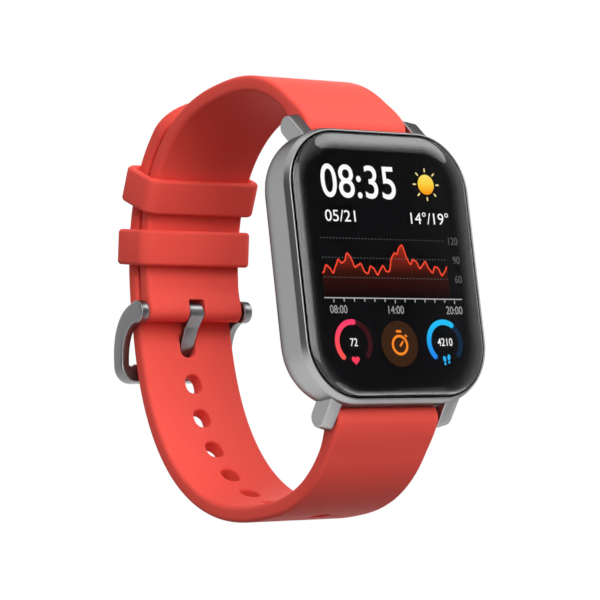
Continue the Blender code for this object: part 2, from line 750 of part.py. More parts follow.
def build_back():
    outer = case_inset(CASE_SPLIT) + FIT_GAP
    top = CASE_SPLIT + SEAT_GAP
    ring = (case_outline(outer), case_outline(outer + SEAL_WIDTH))
    part("rear_seal", plate("rear_seal", ring, top, top + SEAL_THICKNESS), "rubber_black")

    depths = [COVER_TOP + (CASE_DEPTH - COVER_TOP) * i / 3 for i in range(4)]
    levels = [(depth, case_inset(depth)) for depth in depths]
    cover = part("rear_cover", loft("rear_cover", case_rings(levels)), "cover_plastic")
    island = ISLAND_DIAMETER / 2
    rim = row_y(SENSOR_DEPTH - SEAT_GAP)
    low = row_y(CASE_DEPTH - COVER_WALL / 2)
    cone = ((0.0, rim), (island - ISLAND_TAPER, rim), (island, low), (0.0, low))
    join(cover, "sensor_island", turned("island", cone, "Y"))
    pocket = case_slab("pocket", WALL + COVER_WALL, COVER_TOP - WALL, CASE_DEPTH - COVER_WALL)
    cut(cover, "inner_pocket", pocket)
    seat = row_y(SENSOR_DEPTH - WINDOW_THICKNESS - SEAT_GAP)
    round_seat = WINDOW_DIAMETER / 2 + SLIDE_GAP
    well = ((0.0, CASE_DEPTH), (round_seat, CASE_DEPTH), (round_seat, seat), (0.0, seat))
    cut(cover, "window_seat", turned("seat", well, "Y"))
    opening = SENSOR_OPENING / 2
    bore = ((0.0, CASE_DEPTH), (opening, CASE_DEPTH), (opening, -CASE_DEPTH), (0.0, -CASE_DEPTH))
    cut(cover, "sensor_opening", turned("opening", bore, "Y"))
    for number, x_sign in ((1, -1), (2, 1)):
        x = x_sign * CONTACT_SPACING / 2
        hole = hole_through(x, CONTACT_Z, CONTACT_DIAMETER / 2 + SLIDE_GAP)
        cut(cover, f"contact_hole_{number}", hole)
        part(f"charge_contact_{number}", contact(x), "gold")

    radius = WINDOW_DIAMETER / 2
    face = row_y(SENSOR_DEPTH)
    inner = face - WINDOW_THICKNESS
    sag = WINDOW_THICKNESS / 3
    lens = [(0.0, face)]
    for step in range(5):
        angle = math.radians(90 * step / 4)
        drop = sag * (1 - math.cos(angle))
        lens.append((radius - WINDOW_ROUND * (1 - math.sin(angle)), face - drop))
    lens += [(radius, inner), (0.0, inner)]
    part("sensor_window", turned("sensor_window", lens, "Y"), "window")

    led_back = SENSOR_DEPTH - WINDOW_THICKNESS - 2 * SEAT_GAP
    led_top = led_back - LED_SIZE[1]
    board_back = led_top - SEAT_GAP
    disc = SENSOR_OPENING / 2 - FIT_GAP
    high = row_y(board_back)
    under = high - SENSOR_BOARD_THICKNESS
    carrier = ((0.0, high), (disc, high), (disc, under), (0.0, under))
    part("sensor_board", turned("sensor_board", carrier, "Y"), "board_green")
    half = LED_SPACING / 2
    led_y = row_y(led_top) + LED_SIZE[1] / 2
    for number, z in ((1, half), (2, -half)):
        part(f"sensor_led_{number}", block("led", LED_SIZE, (0.0, led_y, z)), "led_green")
    for number, x in ((1, half), (2, -half)):
        eye = (LED_SIZE[2], LED_SIZE[1], LED_SIZE[0])
        part(f"photodiode_{number}", block("photodiode", eye, (x, led_y, 0.0)), "display")


def contact(x):
    """A charging pin, set just below the face of the rear cover, with a chamfered end."""
    radius = CONTACT_DIAMETER / 2
    high = row_y(CASE_DEPTH - SEAT_GAP)
    low = high - CONTACT_LENGTH
    edge = radius / 4
    profile = ((0.0, high), (radius - edge, high), (radius, high - edge), (radius, low), (0.0, low))
    return turned("charge_contact", profile, "Y", (x, 0.0, CONTACT_Z))


# Side button

def build_button():
    place = on_axis(BUTTON_DEPTH, 0.0)
    face = BUTTON_FACE_X
    cap = BUTTON_DIAMETER / 2
    stem = STEM_DIAMETER / 2
    neck = STEM_NECK / 2
    round_edge = BUTTON_DIAMETER / 8
    groove_out = CLIP_X + SLIDE_GAP
    groove_in = CLIP_X - CLIP_THICKNESS - SLIDE_GAP
    profile = [(0.0, face)]
    for step in range(5):
        angle = math.radians(90 * step / 4)
        drop = round_edge * (1 - math.cos(angle))
        profile.append((cap - round_edge * (1 - math.sin(angle)), face - drop))
    profile += [(cap, CAP_BACK_X), (stem, CAP_BACK_X), (stem, groove_out), (neck, groove_out)]
    profile += [(neck, groove_in), (stem, groove_in), (stem, STEM_END_X), (0.0, STEM_END_X)]
    part("side_button", turned("side_button", profile, "X", place), "aluminium", place)

    washer = []
    inner = neck + SLIDE_GAP
    opening = math.asin(neck / inner)
    for radius, sign in ((CLIP_DIAMETER / 2, 1), (inner, -1)):
        for step in range(25):
            angle = opening + (math.tau - 2 * opening) * step / 24
            angle = math.pi / 2 + (angle if sign > 0 else math.tau - angle)
            y = place[1] + radius * math.cos(angle)
            washer.append((y, place[2] + radius * math.sin(angle)))
    clip = flat_solid("button_clip", (washer,), CLIP_X - CLIP_THICKNESS, CLIP_X, "X")
    part("button_clip", clip, "steel", place)

    ring_x = (BUTTON_SEAT_X + CAVITY_X) / 2
    minor = ORING_SECTION / 2
    major = stem + SLIDE_GAP + minor
    angles = [math.tau * i / ORING_STEPS for i in range(ORING_STEPS + 1)]
    ring = [(major + minor * math.cos(a), ring_x + minor * math.sin(a)) for a in angles]
    part("button_seal", turned("button_seal", ring, "X", place), "rubber_black")
    switch_place = (SWITCH_X - SWITCH_SIZE[0] / 2, row_y(SWITCH_DEPTH), 0.0)
    switch = block("button_switch", SWITCH_SIZE, switch_place, SWITCH_EDGE)
    part("button_switch", switch, "tinned_steel")


# Spring bars with a quick-release slider

def build_bar(name, path, z):
    """A hollow bar with one fixed tip, and a sprung tip that a small knob draws in."""
    place = on_axis(BAR_DEPTH, z)
    end = STRAP_WIDTH / 2 - FIT_GAP
    reach = LUG_INNER + TIP_REACH
    tube = rod("bar", BAR_DIAMETER / 2, -end, end, place, 20)
    bar = part(f"{name}_spring_bar", tube, "steel", place)
    join(bar, "fixed_tip", rod("tip", TIP_DIAMETER / 2, -reach, 0.0, place, 16))
    rod_start = reach - RELEASE_ROD
    bore_start = rod_start - RELEASE_TRAVEL - FIT_GAP
    cut(bar, "bore", rod("bore", BAR_BORE / 2, bore_start, reach, place, 20))
    _, _, normal = station(path, 0.0)
    inward = Vector((0.0, -normal[0], -normal[1]))
    slot_low = RELEASE_KNOB_X - RELEASE_TRAVEL - RELEASE_KNOB / 2 - FIT_GAP
    slot_high = RELEASE_KNOB_X + RELEASE_KNOB / 2 + FIT_GAP
    slot_width = RELEASE_KNOB + 2 * FIT_GAP
    cut(bar, "slot", knob_window(slot_low, slot_high, slot_width, place, inward))
    tip = rod("tip", TIP_DIAMETER / 2, rod_start, reach, place, 16)
    slider = part(f"{name}_quick_release", tip, "steel", place)
    knob_root = (RELEASE_KNOB_X, place[1], place[2])
    knob = pin_along(RELEASE_KNOB / 2, KNUCKLE_RADIUS + KNOB_RISE, knob_root, inward)
    join(slider, "knob", knob)
    return slot_low, slot_high, slot_width, place, inward


def pin_along(radius, length, start, direction):
    """A round pin from start along a direction."""
    work = bmesh.new()
    turn = Vector((0.0, 0.0, 1.0)).rotation_difference(direction).to_matrix().to_4x4()
    middle = Vector(start) + direction * (length / 2)
    bmesh.ops.create_cone(
        work, cap_ends=True, segments=16, radius1=radius, radius2=radius, depth=length,
        matrix=Matrix.Translation(middle) @ turn,
    )
    return finished(work, "pin")


def knob_window(x_low, x_high, width, place, inward):
    """A slot from a bar's axis out to the wrist side."""
    length = 3 * KNUCKLE_RADIUS
    work = bmesh.new()
    bmesh.ops.create_cube(work, size=1.0)
    bmesh.ops.scale(work, vec=(x_high - x_low, width, length), verts=work.verts)
    turn = Vector((0.0, 0.0, 1.0)).rotation_difference(inward).to_matrix().to_4x4()
    middle = Vector(((x_low + x_high) / 2, place[1], place[2])) + inward * (length / 2)
    bmesh.ops.transform(work, matrix=Matrix.Translation(middle) @ turn, verts=work.verts)
    return finished(work, "window")


# Straps

def build_straps():
    upper_window = build_bar("upper", UPPER, BAR_Z)
    lower_window = build_bar("lower", LOWER, -BAR_Z)
    bar_bore = BAR_DIAMETER / 2 + SLIDE_GAP
    for name, rings, z, window in (
        ("upper_strap", upper_strap_rings(), BAR_Z, upper_window),
        ("lower_strap", lower_strap_rings(), -BAR_Z, lower_window),
    ):
        place = on_axis(BAR_DEPTH, z)
        strap = part(name, loft(name, rings), "silicone_coral", place)
        join(strap, "lug_knuckle", knuckle("knuckle", KNUCKLE_RADIUS, STRAP_WIDTH, BAR_DEPTH, z))
        cut(strap, "bar_bore", rod("bore", bar_bore, -STRAP_WIDTH, STRAP_WIDTH, place, 20))
        cut(strap, "release_window", knob_window(*window))
    upper = PARTS.objects["upper_strap"]
    pin = on_axis(PIN_DEPTH, PIN_Z)
    roll = knuckle("knuckle", PIN_KNUCKLE, STRAP_BACK_WIDTH, PIN_DEPTH, PIN_Z)
    join(upper, "buckle_knuckle", roll)
    pin_bore = PIN_DIAMETER / 2 + SLIDE_GAP
    cut(upper, "pin_bore", rod("bore", pin_bore, -STRAP_WIDTH, STRAP_WIDTH, pin, 20))
    slot_width = TONGUE_WIDTH + 2 * FIT_GAP
    slot_top = PIN_Z + TONGUE_RING + FIT_GAP
    slot_height = 3 * PIN_KNUCKLE
    slot_size = (slot_width, 3 * STRAP_THICKNESS, slot_height)
    slot_place = (0.0, pin[1], slot_top - slot_height / 2)
    cut(upper, "tongue_slot", block("slot", slot_size, slot_place))
    lower = PARTS.objects["lower_strap"]
    cut(lower, "holes", strap_holes())


def strap_holes():
    """Oval holes along the lower strap, and the one that the tongue pulls aslant."""
    work = bmesh.new()
    entry = tongue_along()
    outline = rounded_rect(HOLE_WIDTH, HOLE_LENGTH, HOLE_ROUND * HOLE_WIDTH, steps=4)
    for number in range(-HOLES_BELOW, HOLES_ABOVE + 1):
        if number == 0:
            continue
        point, direction, normal = station(LOWER, entry + number * HOLE_PITCH)
        add_prism(work, outline, point, direction, normal, STRAP_THICKNESS)
    point, _, _ = station(LOWER, entry)
    slope = TONGUE_PATH[-1] - TONGUE_PATH[len(TONGUE_PATH) // 2]
    slope = slope / np.linalg.norm(slope)
    across = np.array((-slope[1], slope[0]))
    wide = TONGUE_WIDTH + 2 * FIT_GAP
    high = TONGUE_THICKNESS + 2 * FIT_GAP
    aslant = rounded_rect(wide, high, TONGUE_HOLE_ROUND * high, steps=4)
    add_prism(work, aslant, point, across, slope, TONGUE_HOLE_REACH)
    return finished(work, "holes")


def add_prism(work, outline, point, direction, axis, reach):
    """Adds a prism with its outline in X and direction, along an axis through a point."""
    rings = []
    for side in (-1, 1):
        ring = []
        for x, run in outline:
            depth, z = point + direction * run + axis * side * reach
            ring.append(work.verts.new((x, row_y(depth), z)))
        rings.append(ring)
    count = len(outline)
    for i in range(count):
        j = (i + 1) % count
        work.faces.new((rings[0][i], rings[0][j], rings[1][j], rings[1][i]))
    work.faces.new(rings[0])
    work.faces.new(rings[1])


# Keepers

def build_keepers():
    for name, z in (("fixed_keeper", FIXED_KEEPER_Z), ("free_keeper", FREE_KEEPER_Z)):
        middle = along_at(UPPER, z)
        point, _, normal = station(UPPER, middle)
        inner_low = -STRAP_THICKNESS / 2 - KEEPER_GAP
        tail_rise = max(float(np.dot(other - point, normal)) for other in keeper_span(middle))
        inner_high = tail_rise + STRAP_THICKNESS / 2 + KEEPER_GAP
        rise = (inner_low + inner_high) / 2
        width = strap_width(middle / UPPER_LENGTH) + 2 * KEEPER_GAP
        height = inner_high - inner_low
        inner = rounded_rect(width, height, STRAP_EDGE, steps=3)
        wall = 2 * KEEPER_WALL
        outer = rounded_rect(width + wall, height + wall, STRAP_EDGE + KEEPER_EDGE, steps=3)
        origin = keeper_centre(middle) if name == "free_keeper" else (0.0, 0.0, 0.0)
        stops = [middle + KEEPER_LENGTH * (i / 4 - 0.5) for i in range(5)]
        ring = loft(name, [section_ring(UPPER, along, outer, rise) for along in stops])
        keeper = part(name, ring, "silicone_coral", origin)
        long_stops = [middle + KEEPER_LENGTH * (0.4 * i - 0.8) for i in range(5)]
        passage = loft("passage", [section_ring(UPPER, along, inner, rise) for along in long_stops])
        cut(keeper, "passage", passage)


def keeper_span(middle):
    """Points on the tail's middle line that lie straight out from the keeper's stretch of strap."""
    point, direction, normal = station(UPPER, middle)
    offset = LOWER - point
    run = offset @ direction
    rise = offset @ normal
    near = (np.abs(run) < KEEPER_LENGTH / 2) & (rise > 0) & (rise < 4 * STRAP_THICKNESS)
    return LOWER[near]


def keeper_centre(middle):
    """The centre of the arc that the free keeper slides on."""
    ends = [station(UPPER, middle + step)[0] for step in (-KEEPER_LENGTH, 0.0, KEEPER_LENGTH)]
    (ax, ay), (bx, by), (cx, cy) = ends
    rows = np.array(((bx - ax, by - ay), (cx - ax, cy - ay)))
    right = 0.5 * np.array((bx**2 + by**2 - ax**2 - ay**2, cx**2 + cy**2 - ax**2 - ay**2))
    depth, z = np.linalg.solve(rows, right)
    return on_axis(depth, z)


# Buckle

def tongue_path():
    """The tongue's middle line in (depth, z): down from the pin, then out through the strap."""
    pin = np.array((PIN_DEPTH, PIN_Z))
    aim = np.array((FRAME_REACH, -FRAME_DROP))
    tip = pin + aim / np.linalg.norm(aim) * TONGUE_LENGTH
    start = pin + np.array(TONGUE_START) * TONGUE_RING
    bend = pin + np.array(TONGUE_LEAN) * TONGUE_BEND
    share = np.linspace(0.0, 1.0, 13)[:, None]
    return (1 - share) ** 2 * start + 2 * share * (1 - share) * bend + share**2 * tip


TONGUE_PATH = tongue_path()


def tongue_along():
    """Distance along the lower strap where the tongue goes through it."""
    gaps = np.linalg.norm(LOWER[:, None] - TONGUE_PATH[None], axis=2).min(axis=1)
    return lengths(LOWER)[np.argmin(gaps)]


def frame_path():
    """Middle line of a buckle arm in (depth, z), from the pin round to the bar."""
    angles = np.linspace(math.pi / 2, 0.0, 13)
    depth = PIN_DEPTH + FRAME_REACH * np.cos(angles) ** (2 / FRAME_POWER)
    z = PIN_Z - FRAME_DROP + FRAME_DROP * np.sin(angles) ** (2 / FRAME_POWER)
    return np.stack((depth, z), axis=1)


def band(name, path, width, thickness, x_middle, edge, taper=1.0):
    """A flat bar along a path in (depth, z), tapering to a share of its thickness."""
    rings = []
    run = lengths(path)
    for i, point in enumerate(path):
        ahead = path[min(i + 1, len(path) - 1)] - path[max(i - 1, 0)]
        ahead = ahead / np.linalg.norm(ahead)
        normal = np.array((-ahead[1], ahead[0]))
        size = thickness * (1 + (taper - 1) * run[i] / run[-1])
        ring = []
        for x, rise in rounded_rect(width, size, min(edge, 0.4 * size), steps=2):
            depth, z = point + normal * rise
            ring.append((x_middle + x, row_y(depth), z))
        rings.append(ring)
    return loft(name, rings)


def build_buckle():
    pin = on_axis(PIN_DEPTH, PIN_Z)
    inner = STRAP_BACK_WIDTH / 2 + FIT_GAP
    outer = inner + ARM_WIDTH
    part("buckle_pin", rod("buckle_pin", PIN_DIAMETER / 2, -outer, outer, pin, 20), "steel", pin)

    middle = (inner + outer) / 2
    arm_edge = ARM_WIDTH / 4
    left = band("arm", frame_path(), ARM_WIDTH, ARM_THICKNESS, -middle, arm_edge, ARM_TAPER)
    frame = part("buckle_frame", left, "gunmetal", pin)
    right = band("arm", frame_path(), ARM_WIDTH, ARM_THICKNESS, middle, arm_edge, ARM_TAPER)
    join(frame, "right_arm", right)
    bar_y = row_y(PIN_DEPTH + FRAME_REACH)
    bar_z = PIN_Z - FRAME_DROP
    bar_width = 2 * outer - FIT_GAP
    bar = block("bar", (bar_width, FRAME_BAR, FRAME_BAR), (0.0, bar_y, bar_z), FRAME_BAR / 4)
    join(frame, "far_bar", bar)
    eye_inset = FIT_GAP / 3
    for hand, low, high in (("left", -outer, -inner), ("right", inner, outer)):
        eye = rod("eye", EYE_RADIUS, low + eye_inset, high - eye_inset, pin)
        join(frame, f"eye_{hand}", eye)
    bore = PIN_DIAMETER / 2 + SLIDE_GAP
    cut(frame, "pin_holes", rod("bore", bore, -2 * outer, 2 * outer, pin, 20))
    notch_width = TONGUE_WIDTH + 2 * FIT_GAP
    cut(frame, "tongue_notch", tongue_notch(notch_width, pin))

    ring = rod("tongue", TONGUE_RING, -TONGUE_WIDTH / 2, TONGUE_WIDTH / 2, pin)
    tongue = part("tongue", ring, "gunmetal", pin)
    width = TONGUE_WIDTH - FIT_GAP / 2
    edge = TONGUE_THICKNESS / 4
    shank = band("shank", TONGUE_PATH, width, TONGUE_THICKNESS, 0.0, edge, TONGUE_TAPER)
    join(tongue, "shank", shank)
    cut(tongue, "pin_hole", rod("bore", bore, -TONGUE_WIDTH, TONGUE_WIDTH, pin, 20))


def tongue_notch(width, pin):
    """A groove in the far bar, round the pin, that the tip of the tongue swings through."""
    return rod("notch", TONGUE_LENGTH + 2 * FIT_GAP, -width / 2, width / 2, pin, 48)


build_case()
build_front()
build_inside()
build_back()
build_button()
build_straps()
build_keepers()
build_buckle()
for shown in ("free_keeper", "buckle_pin", "side_button", "upper_strap", "lower_strap"):
    print(shown, "axis at", tuple(round(value, 6) for value in PARTS.objects[shown].location))
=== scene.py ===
# %% [markdown]
# # The looks of a square running watch
#
# The CAD part gives every piece its place and its joint. This lesson builds what the eye sees around
# it: a case with soft edges, a curved glass over a lit screen, silicone straps and a steel buckle. Each
# cell says what a piece is, how it could be made, and why it is made this way.

# %% Load the frame
import json
import math

import bmesh
import bpy
import numpy as np
from mathutils import Matrix, Vector


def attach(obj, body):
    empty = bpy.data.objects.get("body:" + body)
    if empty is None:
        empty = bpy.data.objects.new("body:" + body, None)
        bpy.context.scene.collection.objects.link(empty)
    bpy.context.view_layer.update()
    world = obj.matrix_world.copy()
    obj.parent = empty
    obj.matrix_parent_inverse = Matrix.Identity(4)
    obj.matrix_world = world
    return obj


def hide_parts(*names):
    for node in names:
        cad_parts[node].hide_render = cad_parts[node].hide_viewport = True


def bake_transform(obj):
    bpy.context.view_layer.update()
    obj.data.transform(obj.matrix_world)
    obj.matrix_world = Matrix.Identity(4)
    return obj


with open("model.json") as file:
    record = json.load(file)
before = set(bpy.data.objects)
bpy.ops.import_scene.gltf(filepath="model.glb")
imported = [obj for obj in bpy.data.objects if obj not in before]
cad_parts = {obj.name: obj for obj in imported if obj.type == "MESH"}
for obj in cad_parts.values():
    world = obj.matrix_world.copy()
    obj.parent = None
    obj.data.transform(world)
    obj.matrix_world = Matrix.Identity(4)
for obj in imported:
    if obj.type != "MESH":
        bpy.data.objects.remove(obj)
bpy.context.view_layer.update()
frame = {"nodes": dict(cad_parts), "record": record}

# %% [markdown]
# ## Units and skins
#
# The watch is drawn in millimetres as (x, depth, z): x across the case, depth from the case's rim
# towards the wrist, z towards 12 o'clock. One function turns that into the frame's metres, so no other
# line has to think about units.
#
# Most pieces are skins: rings of points joined by faces. Rings are easier to steer than a subdivided
# box, because the same list of points gives the edge's rounding and the piece's path.

# %% Skins
SENSOR_DEPTH = 9.9


def row(points):
    """Millimetres (x, depth, z) to the frame's metres; the frame's origin lies on the sensor window."""
    return (np.asarray(points, float) - (0.0, SENSOR_DEPTH, 0.0)) * 0.001


def skin(name, rings, closed=False):
    """A closed mesh through rings of equally many points; closed joins the last ring to the first."""
    rings = np.asarray(rings, float)
    count, size = rings.shape[:2]
    faces = []
    for i in range(count if closed else count - 1):
        a = i * size
        b = (i + 1) % count * size
        faces += [(a + j, a + (j + 1) % size, b + (j + 1) % size, b + j) for j in range(size)]
    if not closed:
        faces += [tuple(range(size)), tuple(range((count - 1) * size, count * size))]
    mesh = bpy.data.meshes.new(name)
    mesh.from_pydata(row(rings.reshape(-1, 3)).tolist(), [], faces)
    work = bmesh.new()
    work.from_mesh(mesh)
    bmesh.ops.recalc_face_normals(work, faces=work.faces)
    work.to_mesh(mesh)
    work.free()
    return mesh


# %% [markdown]
# ## Outlines
#
# A few small drawing tools do most of the work: a rounded rectangle, a corner list with a radius at
# each corner, and a barrel, which is a rod with soft rims. Soft rims matter: a real edge always catches
# a thin line of light.

# %% Flat outlines
def rounded_rect(width, height, radius, steps=6):
    points = []
    for u_sign, v_sign, start in ((1, 1, 0), (-1, 1, 90), (-1, -1, 180), (1, -1, 270)):
        for step in range(steps + 1):
            angle = math.radians(start + 90 * step / steps)
            u = u_sign * (width / 2 - radius) + radius * math.cos(angle)
            points.append((u, v_sign * (height / 2 - radius) + radius * math.sin(angle)))
    return np.array(points)


def filleted(corners, steps=6):
    """A closed outline from (u, v, radius) corners."""
    spots = np.array([corner[:2] for corner in corners], float)
    made = []
    for i, (_, _, radius) in enumerate(corners):
        here = spots[i]
        if not radius:
            made.append(here)
            continue
        before = spots[i - 1] - here
        after = spots[(i + 1) % len(spots)] - here
        before /= np.linalg.norm(before)
        after /= np.linalg.norm(after)
        half = math.acos(np.clip(before @ after, -1, 1)) / 2
        middle = before + after
        centre = here + middle / np.linalg.norm(middle) * radius / math.sin(half)
        ends = [here + way * radius / math.tan(half) - centre for way in (before, after)]
        first, last = (math.atan2(end[1], end[0]) for end in ends)
        sweep = (last - first + math.pi) % math.tau - math.pi
        for share in np.linspace(0, 1, steps):
            angle = first + sweep * share
            made.append(centre + radius * np.array((math.cos(angle), math.sin(angle))))
    return np.array(made)


# %% Turned shapes
def circle(steps):
    angles = np.linspace(0, math.tau, steps, endpoint=False)
    return np.stack((np.cos(angles), np.sin(angles)), axis=1)


def barrel(low, high, radius, edge, steps=6):
    """(x, radius) pairs of a rod with rounded rims."""
    turns = np.linspace(0, math.pi / 2, steps)
    near = [(low + edge * (1 - math.cos(a)), radius - edge * (1 - math.sin(a))) for a in turns]
    far = [(high - (x - low), r) for x, r in reversed(near)]
    return near + far


def rod(name, profile, place, steps=48):
    """A turned shape along X, about a (depth, z) place, from (x, radius) pairs."""
    return skin(name, [[(x, *spot) for spot in place + radius * circle(steps)] for x, radius in profile])


def bore(reach, radius, place, steps=48):
    """A step for carve: a round hole along X that reaches equally far to both sides."""
    return "DIFFERENCE", rod("bore", [(-reach, radius), (reach, radius)], place, steps)


def turned(name, profile, place=(0.0, 0.0), steps=96):
    """A turned shape along the depth, about an (x, z) place, from (radius, depth) pairs."""
    rings = []
    for radius, depth in profile:
        rings.append([(x, depth, z) for x, z in place + radius * circle(steps)])
    return skin(name, rings)


# %% [markdown]
# ## Finishes
#
# A perfectly even surface looks like a computer's. One shader group makes the fine unevenness that
# every finish here shares: a noise in the object's own coordinates that gives a roughness, a colour
# shift and a bump. Each finish then only says how coarse and how strong it is. The group hands out
# values and a normal; the shader itself stays in the material.

# %% The grain group
def math_node(tree, operation, *inputs):
    """The output of a Math node; an input is a number or the output that it is linked from."""
    made = tree.nodes.new("ShaderNodeMath")
    made.operation = operation
    for socket, given in zip(made.inputs, inputs):
        if isinstance(given, float):
            socket.default_value = given
        else:
            tree.links.new(given, socket)
    return made.outputs[0]


def grain_group():
    tree = bpy.data.node_groups.new("Fine grain", "ShaderNodeTree")
    values = ("Roughness", "Cells per metre", "Roughness spread", "Colour spread", "Bump")
    tree.interface.new_socket("Colour", in_out="INPUT", socket_type="NodeSocketColor")
    for name in values:
        tree.interface.new_socket(name, in_out="INPUT", socket_type="NodeSocketFloat")
    for name, kind in (("Colour", "Color"), ("Roughness", "Float"), ("Normal", "Vector")):
        tree.interface.new_socket(name, in_out="OUTPUT", socket_type=f"NodeSocket{kind}")
    node, link = tree.nodes.new, tree.links.new
    given, out = node("NodeGroupInput"), node("NodeGroupOutput")
    place, noise = node("ShaderNodeTexCoord"), node("ShaderNodeTexNoise")
    noise.inputs["Detail"].default_value = 3.0
    link(place.outputs["Object"], noise.inputs["Vector"])
    link(given.outputs["Cells per metre"], noise.inputs["Scale"])
    value = given.outputs
    centred = math_node(tree, "SUBTRACT", noise.outputs["Fac"], 0.5)
    rough = math_node(tree, "MULTIPLY_ADD", centred, value["Roughness spread"], value["Roughness"])
    shift = math_node(tree, "MULTIPLY_ADD", centred, value["Colour spread"], 1.0)
    link(rough, out.inputs["Roughness"])
    tint = node("ShaderNodeVectorMath")
    tint.operation = "SCALE"
    link(given.outputs["Colour"], tint.inputs[0])
    link(shift, tint.inputs["Scale"])
    link(tint.outputs[0], out.inputs["Colour"])
    bump = node("ShaderNodeBump")
    bump.inputs["Distance"].default_value = 0.00004
    link(given.outputs["Bump"], bump.inputs["Strength"])
    link(noise.outputs["Fac"], bump.inputs["Height"])
    link(bump.outputs["Normal"], out.inputs["Normal"])
    return tree


GRAIN = grain_group()


# %% A finish from the group
def finish(name, colour, roughness, metallic=0.0, cells=6000, rough=0.1, tint=0.06, bump=0.05, **more):
    made = bpy.data.materials.new(name)
    made.use_nodes = True
    shader = made.node_tree.nodes["Principled BSDF"]
    grain = made.node_tree.nodes.new("ShaderNodeGroup")
    grain.node_tree = GRAIN
    values = {
        "Colour": (*colour, 1), "Roughness": roughness, "Cells per metre": cells, "Roughness spread": rough,
        "Colour spread": tint, "Bump": bump,
    }
    for socket, value in values.items():
        grain.inputs[socket].default_value = value
    for output, socket in (("Colour", "Base Color"), ("Roughness", "Roughness"), ("Normal", "Normal")):
        made.node_tree.links.new(grain.outputs[output], shader.inputs[socket])
    shader.inputs["Metallic"].default_value = metallic
    for socket, value in more.items():
        shader.inputs[socket.replace("_", " ")].default_value = value
    return made


# %% One finish for each slot of the record
EVEN = dict(cells=400, rough=0.0, tint=0.0, bump=0.0)
CLEAR = dict(Transmission_Weight=1.0, IOR=1.5)
LOOKS = {
    "case_metal": dict(
        colour=(0.35, 0.35, 0.355), roughness=0.31, metallic=1.0, cells=14000, tint=0.1, bump=0.25,
        Specular_Tint=(0.3, 0.3, 0.3, 1.0),
    ),
    "glass": dict(colour=(1.0, 1.0, 1.0), roughness=0.0, **EVEN, **CLEAR),
    "black_rubber": dict(colour=(0.012, 0.012, 0.012), roughness=0.6),
    "display": dict(colour=(0.004, 0.004, 0.005), roughness=0.3, Specular_IOR_Level=0.0),
    "polyimide": dict(colour=(0.45, 0.22, 0.04), roughness=0.35),
    "black_plastic": dict(colour=(0.018, 0.018, 0.02), roughness=0.42, cells=12000, tint=0.1, bump=0.3),
    "board": dict(colour=(0.02, 0.13, 0.06), roughness=0.4, cells=3000, rough=0.15, tint=0.3, bump=0.1),
    "steel": dict(colour=(0.55, 0.55, 0.56), roughness=0.3, metallic=1.0, cells=9000, rough=0.15, tint=0.1),
    "battery_wrap": dict(
        colour=(0.30, 0.31, 0.33), roughness=0.4, metallic=0.5, cells=1500, rough=0.2, tint=0.1, bump=0.3,
    ),
    "ceramic": dict(colour=(0.75, 0.72, 0.66), roughness=0.5),
    "sensor_glass": dict(colour=(0.35, 0.35, 0.38), roughness=0.02, **EVEN, **CLEAR),
    "led": dict(colour=(0.05, 0.55, 0.12), roughness=0.25),
    "gold": dict(colour=(0.83, 0.62, 0.28), roughness=0.28, metallic=1.0),
    "silicone": dict(
        colour=(0.90, 0.095, 0.072), roughness=0.6, cells=9000, rough=0.12, tint=0.05, bump=0.22,
        Specular_IOR_Level=0.1,
    ),
    "buckle_steel": dict(
        colour=(0.18, 0.18, 0.185), roughness=0.36, metallic=1.0, cells=12000, rough=0.12, tint=0.1,
        bump=0.08,
    ),
}
FINISH = {name: finish(name, **look) for name, look in LOOKS.items()}
for entry in frame["record"]["subparts"]:
    node = frame["nodes"][entry["node"]]
    node.data.materials.clear()
    node.data.materials.append(FINISH[entry["material_slot"]])
print(len(FINISH), "finishes, and every CAD node has one")

# %% [markdown]
# ## From shape to piece
#
# Holes and joints are made with Boolean modifiers. A live modifier would be worked out again at every
# pose, so the result is kept as a plain mesh instead. A finished mesh is then worn by the watch: it
# gets its finish and the body it rides on, and the CAD nodes that it stands for are hidden.

# %% Carve and wear
def holder(mesh):
    made = bpy.data.objects.new(mesh.name, mesh)
    bpy.context.scene.collection.objects.link(made)
    return made


def applied(target):
    """The mesh of an object with its modifiers applied."""
    bpy.context.view_layer.update()
    graph = bpy.context.evaluated_depsgraph_get()
    return bpy.data.meshes.new_from_object(target.evaluated_get(graph))


def drop(*objects):
    for thing in objects:
        data = thing.data
        bpy.data.objects.remove(thing)
        if isinstance(data, bpy.types.Mesh):
            bpy.data.meshes.remove(data)
        else:
            bpy.data.curves.remove(data)


def carve(mesh, *steps):
    """Joins shapes to a mesh, or cuts them from it, with Boolean modifiers that are then applied."""
    target = holder(mesh)
    shapes = []
    for operation, shape in steps:
        shapes.append(holder(shape))
        modifier = target.modifiers.new(operation, "BOOLEAN")
        modifier.operation = operation
        modifier.solver = "EXACT"
        modifier.object = shapes[-1]
    made = applied(target)
    drop(target, *shapes)
    return made


def wear(name, mesh, slot, body, nodes=(), sharp=32, look=None):
    """Makes a mesh a piece of the watch, in its slot's finish or in a look of its own."""
    mesh.materials.clear()
    mesh.materials.append(look or FINISH[slot])
    mesh.shade_smooth()
    mesh.set_sharp_from_angle(angle=math.radians(sharp))
    made = holder(mesh)
    made.name = name
    mesh.name = name
    if body:
        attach(made, body)
    if nodes:
        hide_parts(*nodes)
    print(f"{name}: {len(mesh.polygons)} faces")
    return made


# %% [markdown]
# ## Case
#
# The metal case is a ring: a sloped shoulder, a straight wall and a back that curves in. It could be a
# box with a bevel, but a bevel has one radius everywhere. Here one closed profile is drawn with its own
# rounding at each corner and swept round the case's outline, so the thin bright lip round the glass is
# a real edge. The lugs are flat bars with round ends and are joined on; the strap's recess, the bar
# holes and the button's seat are cut.

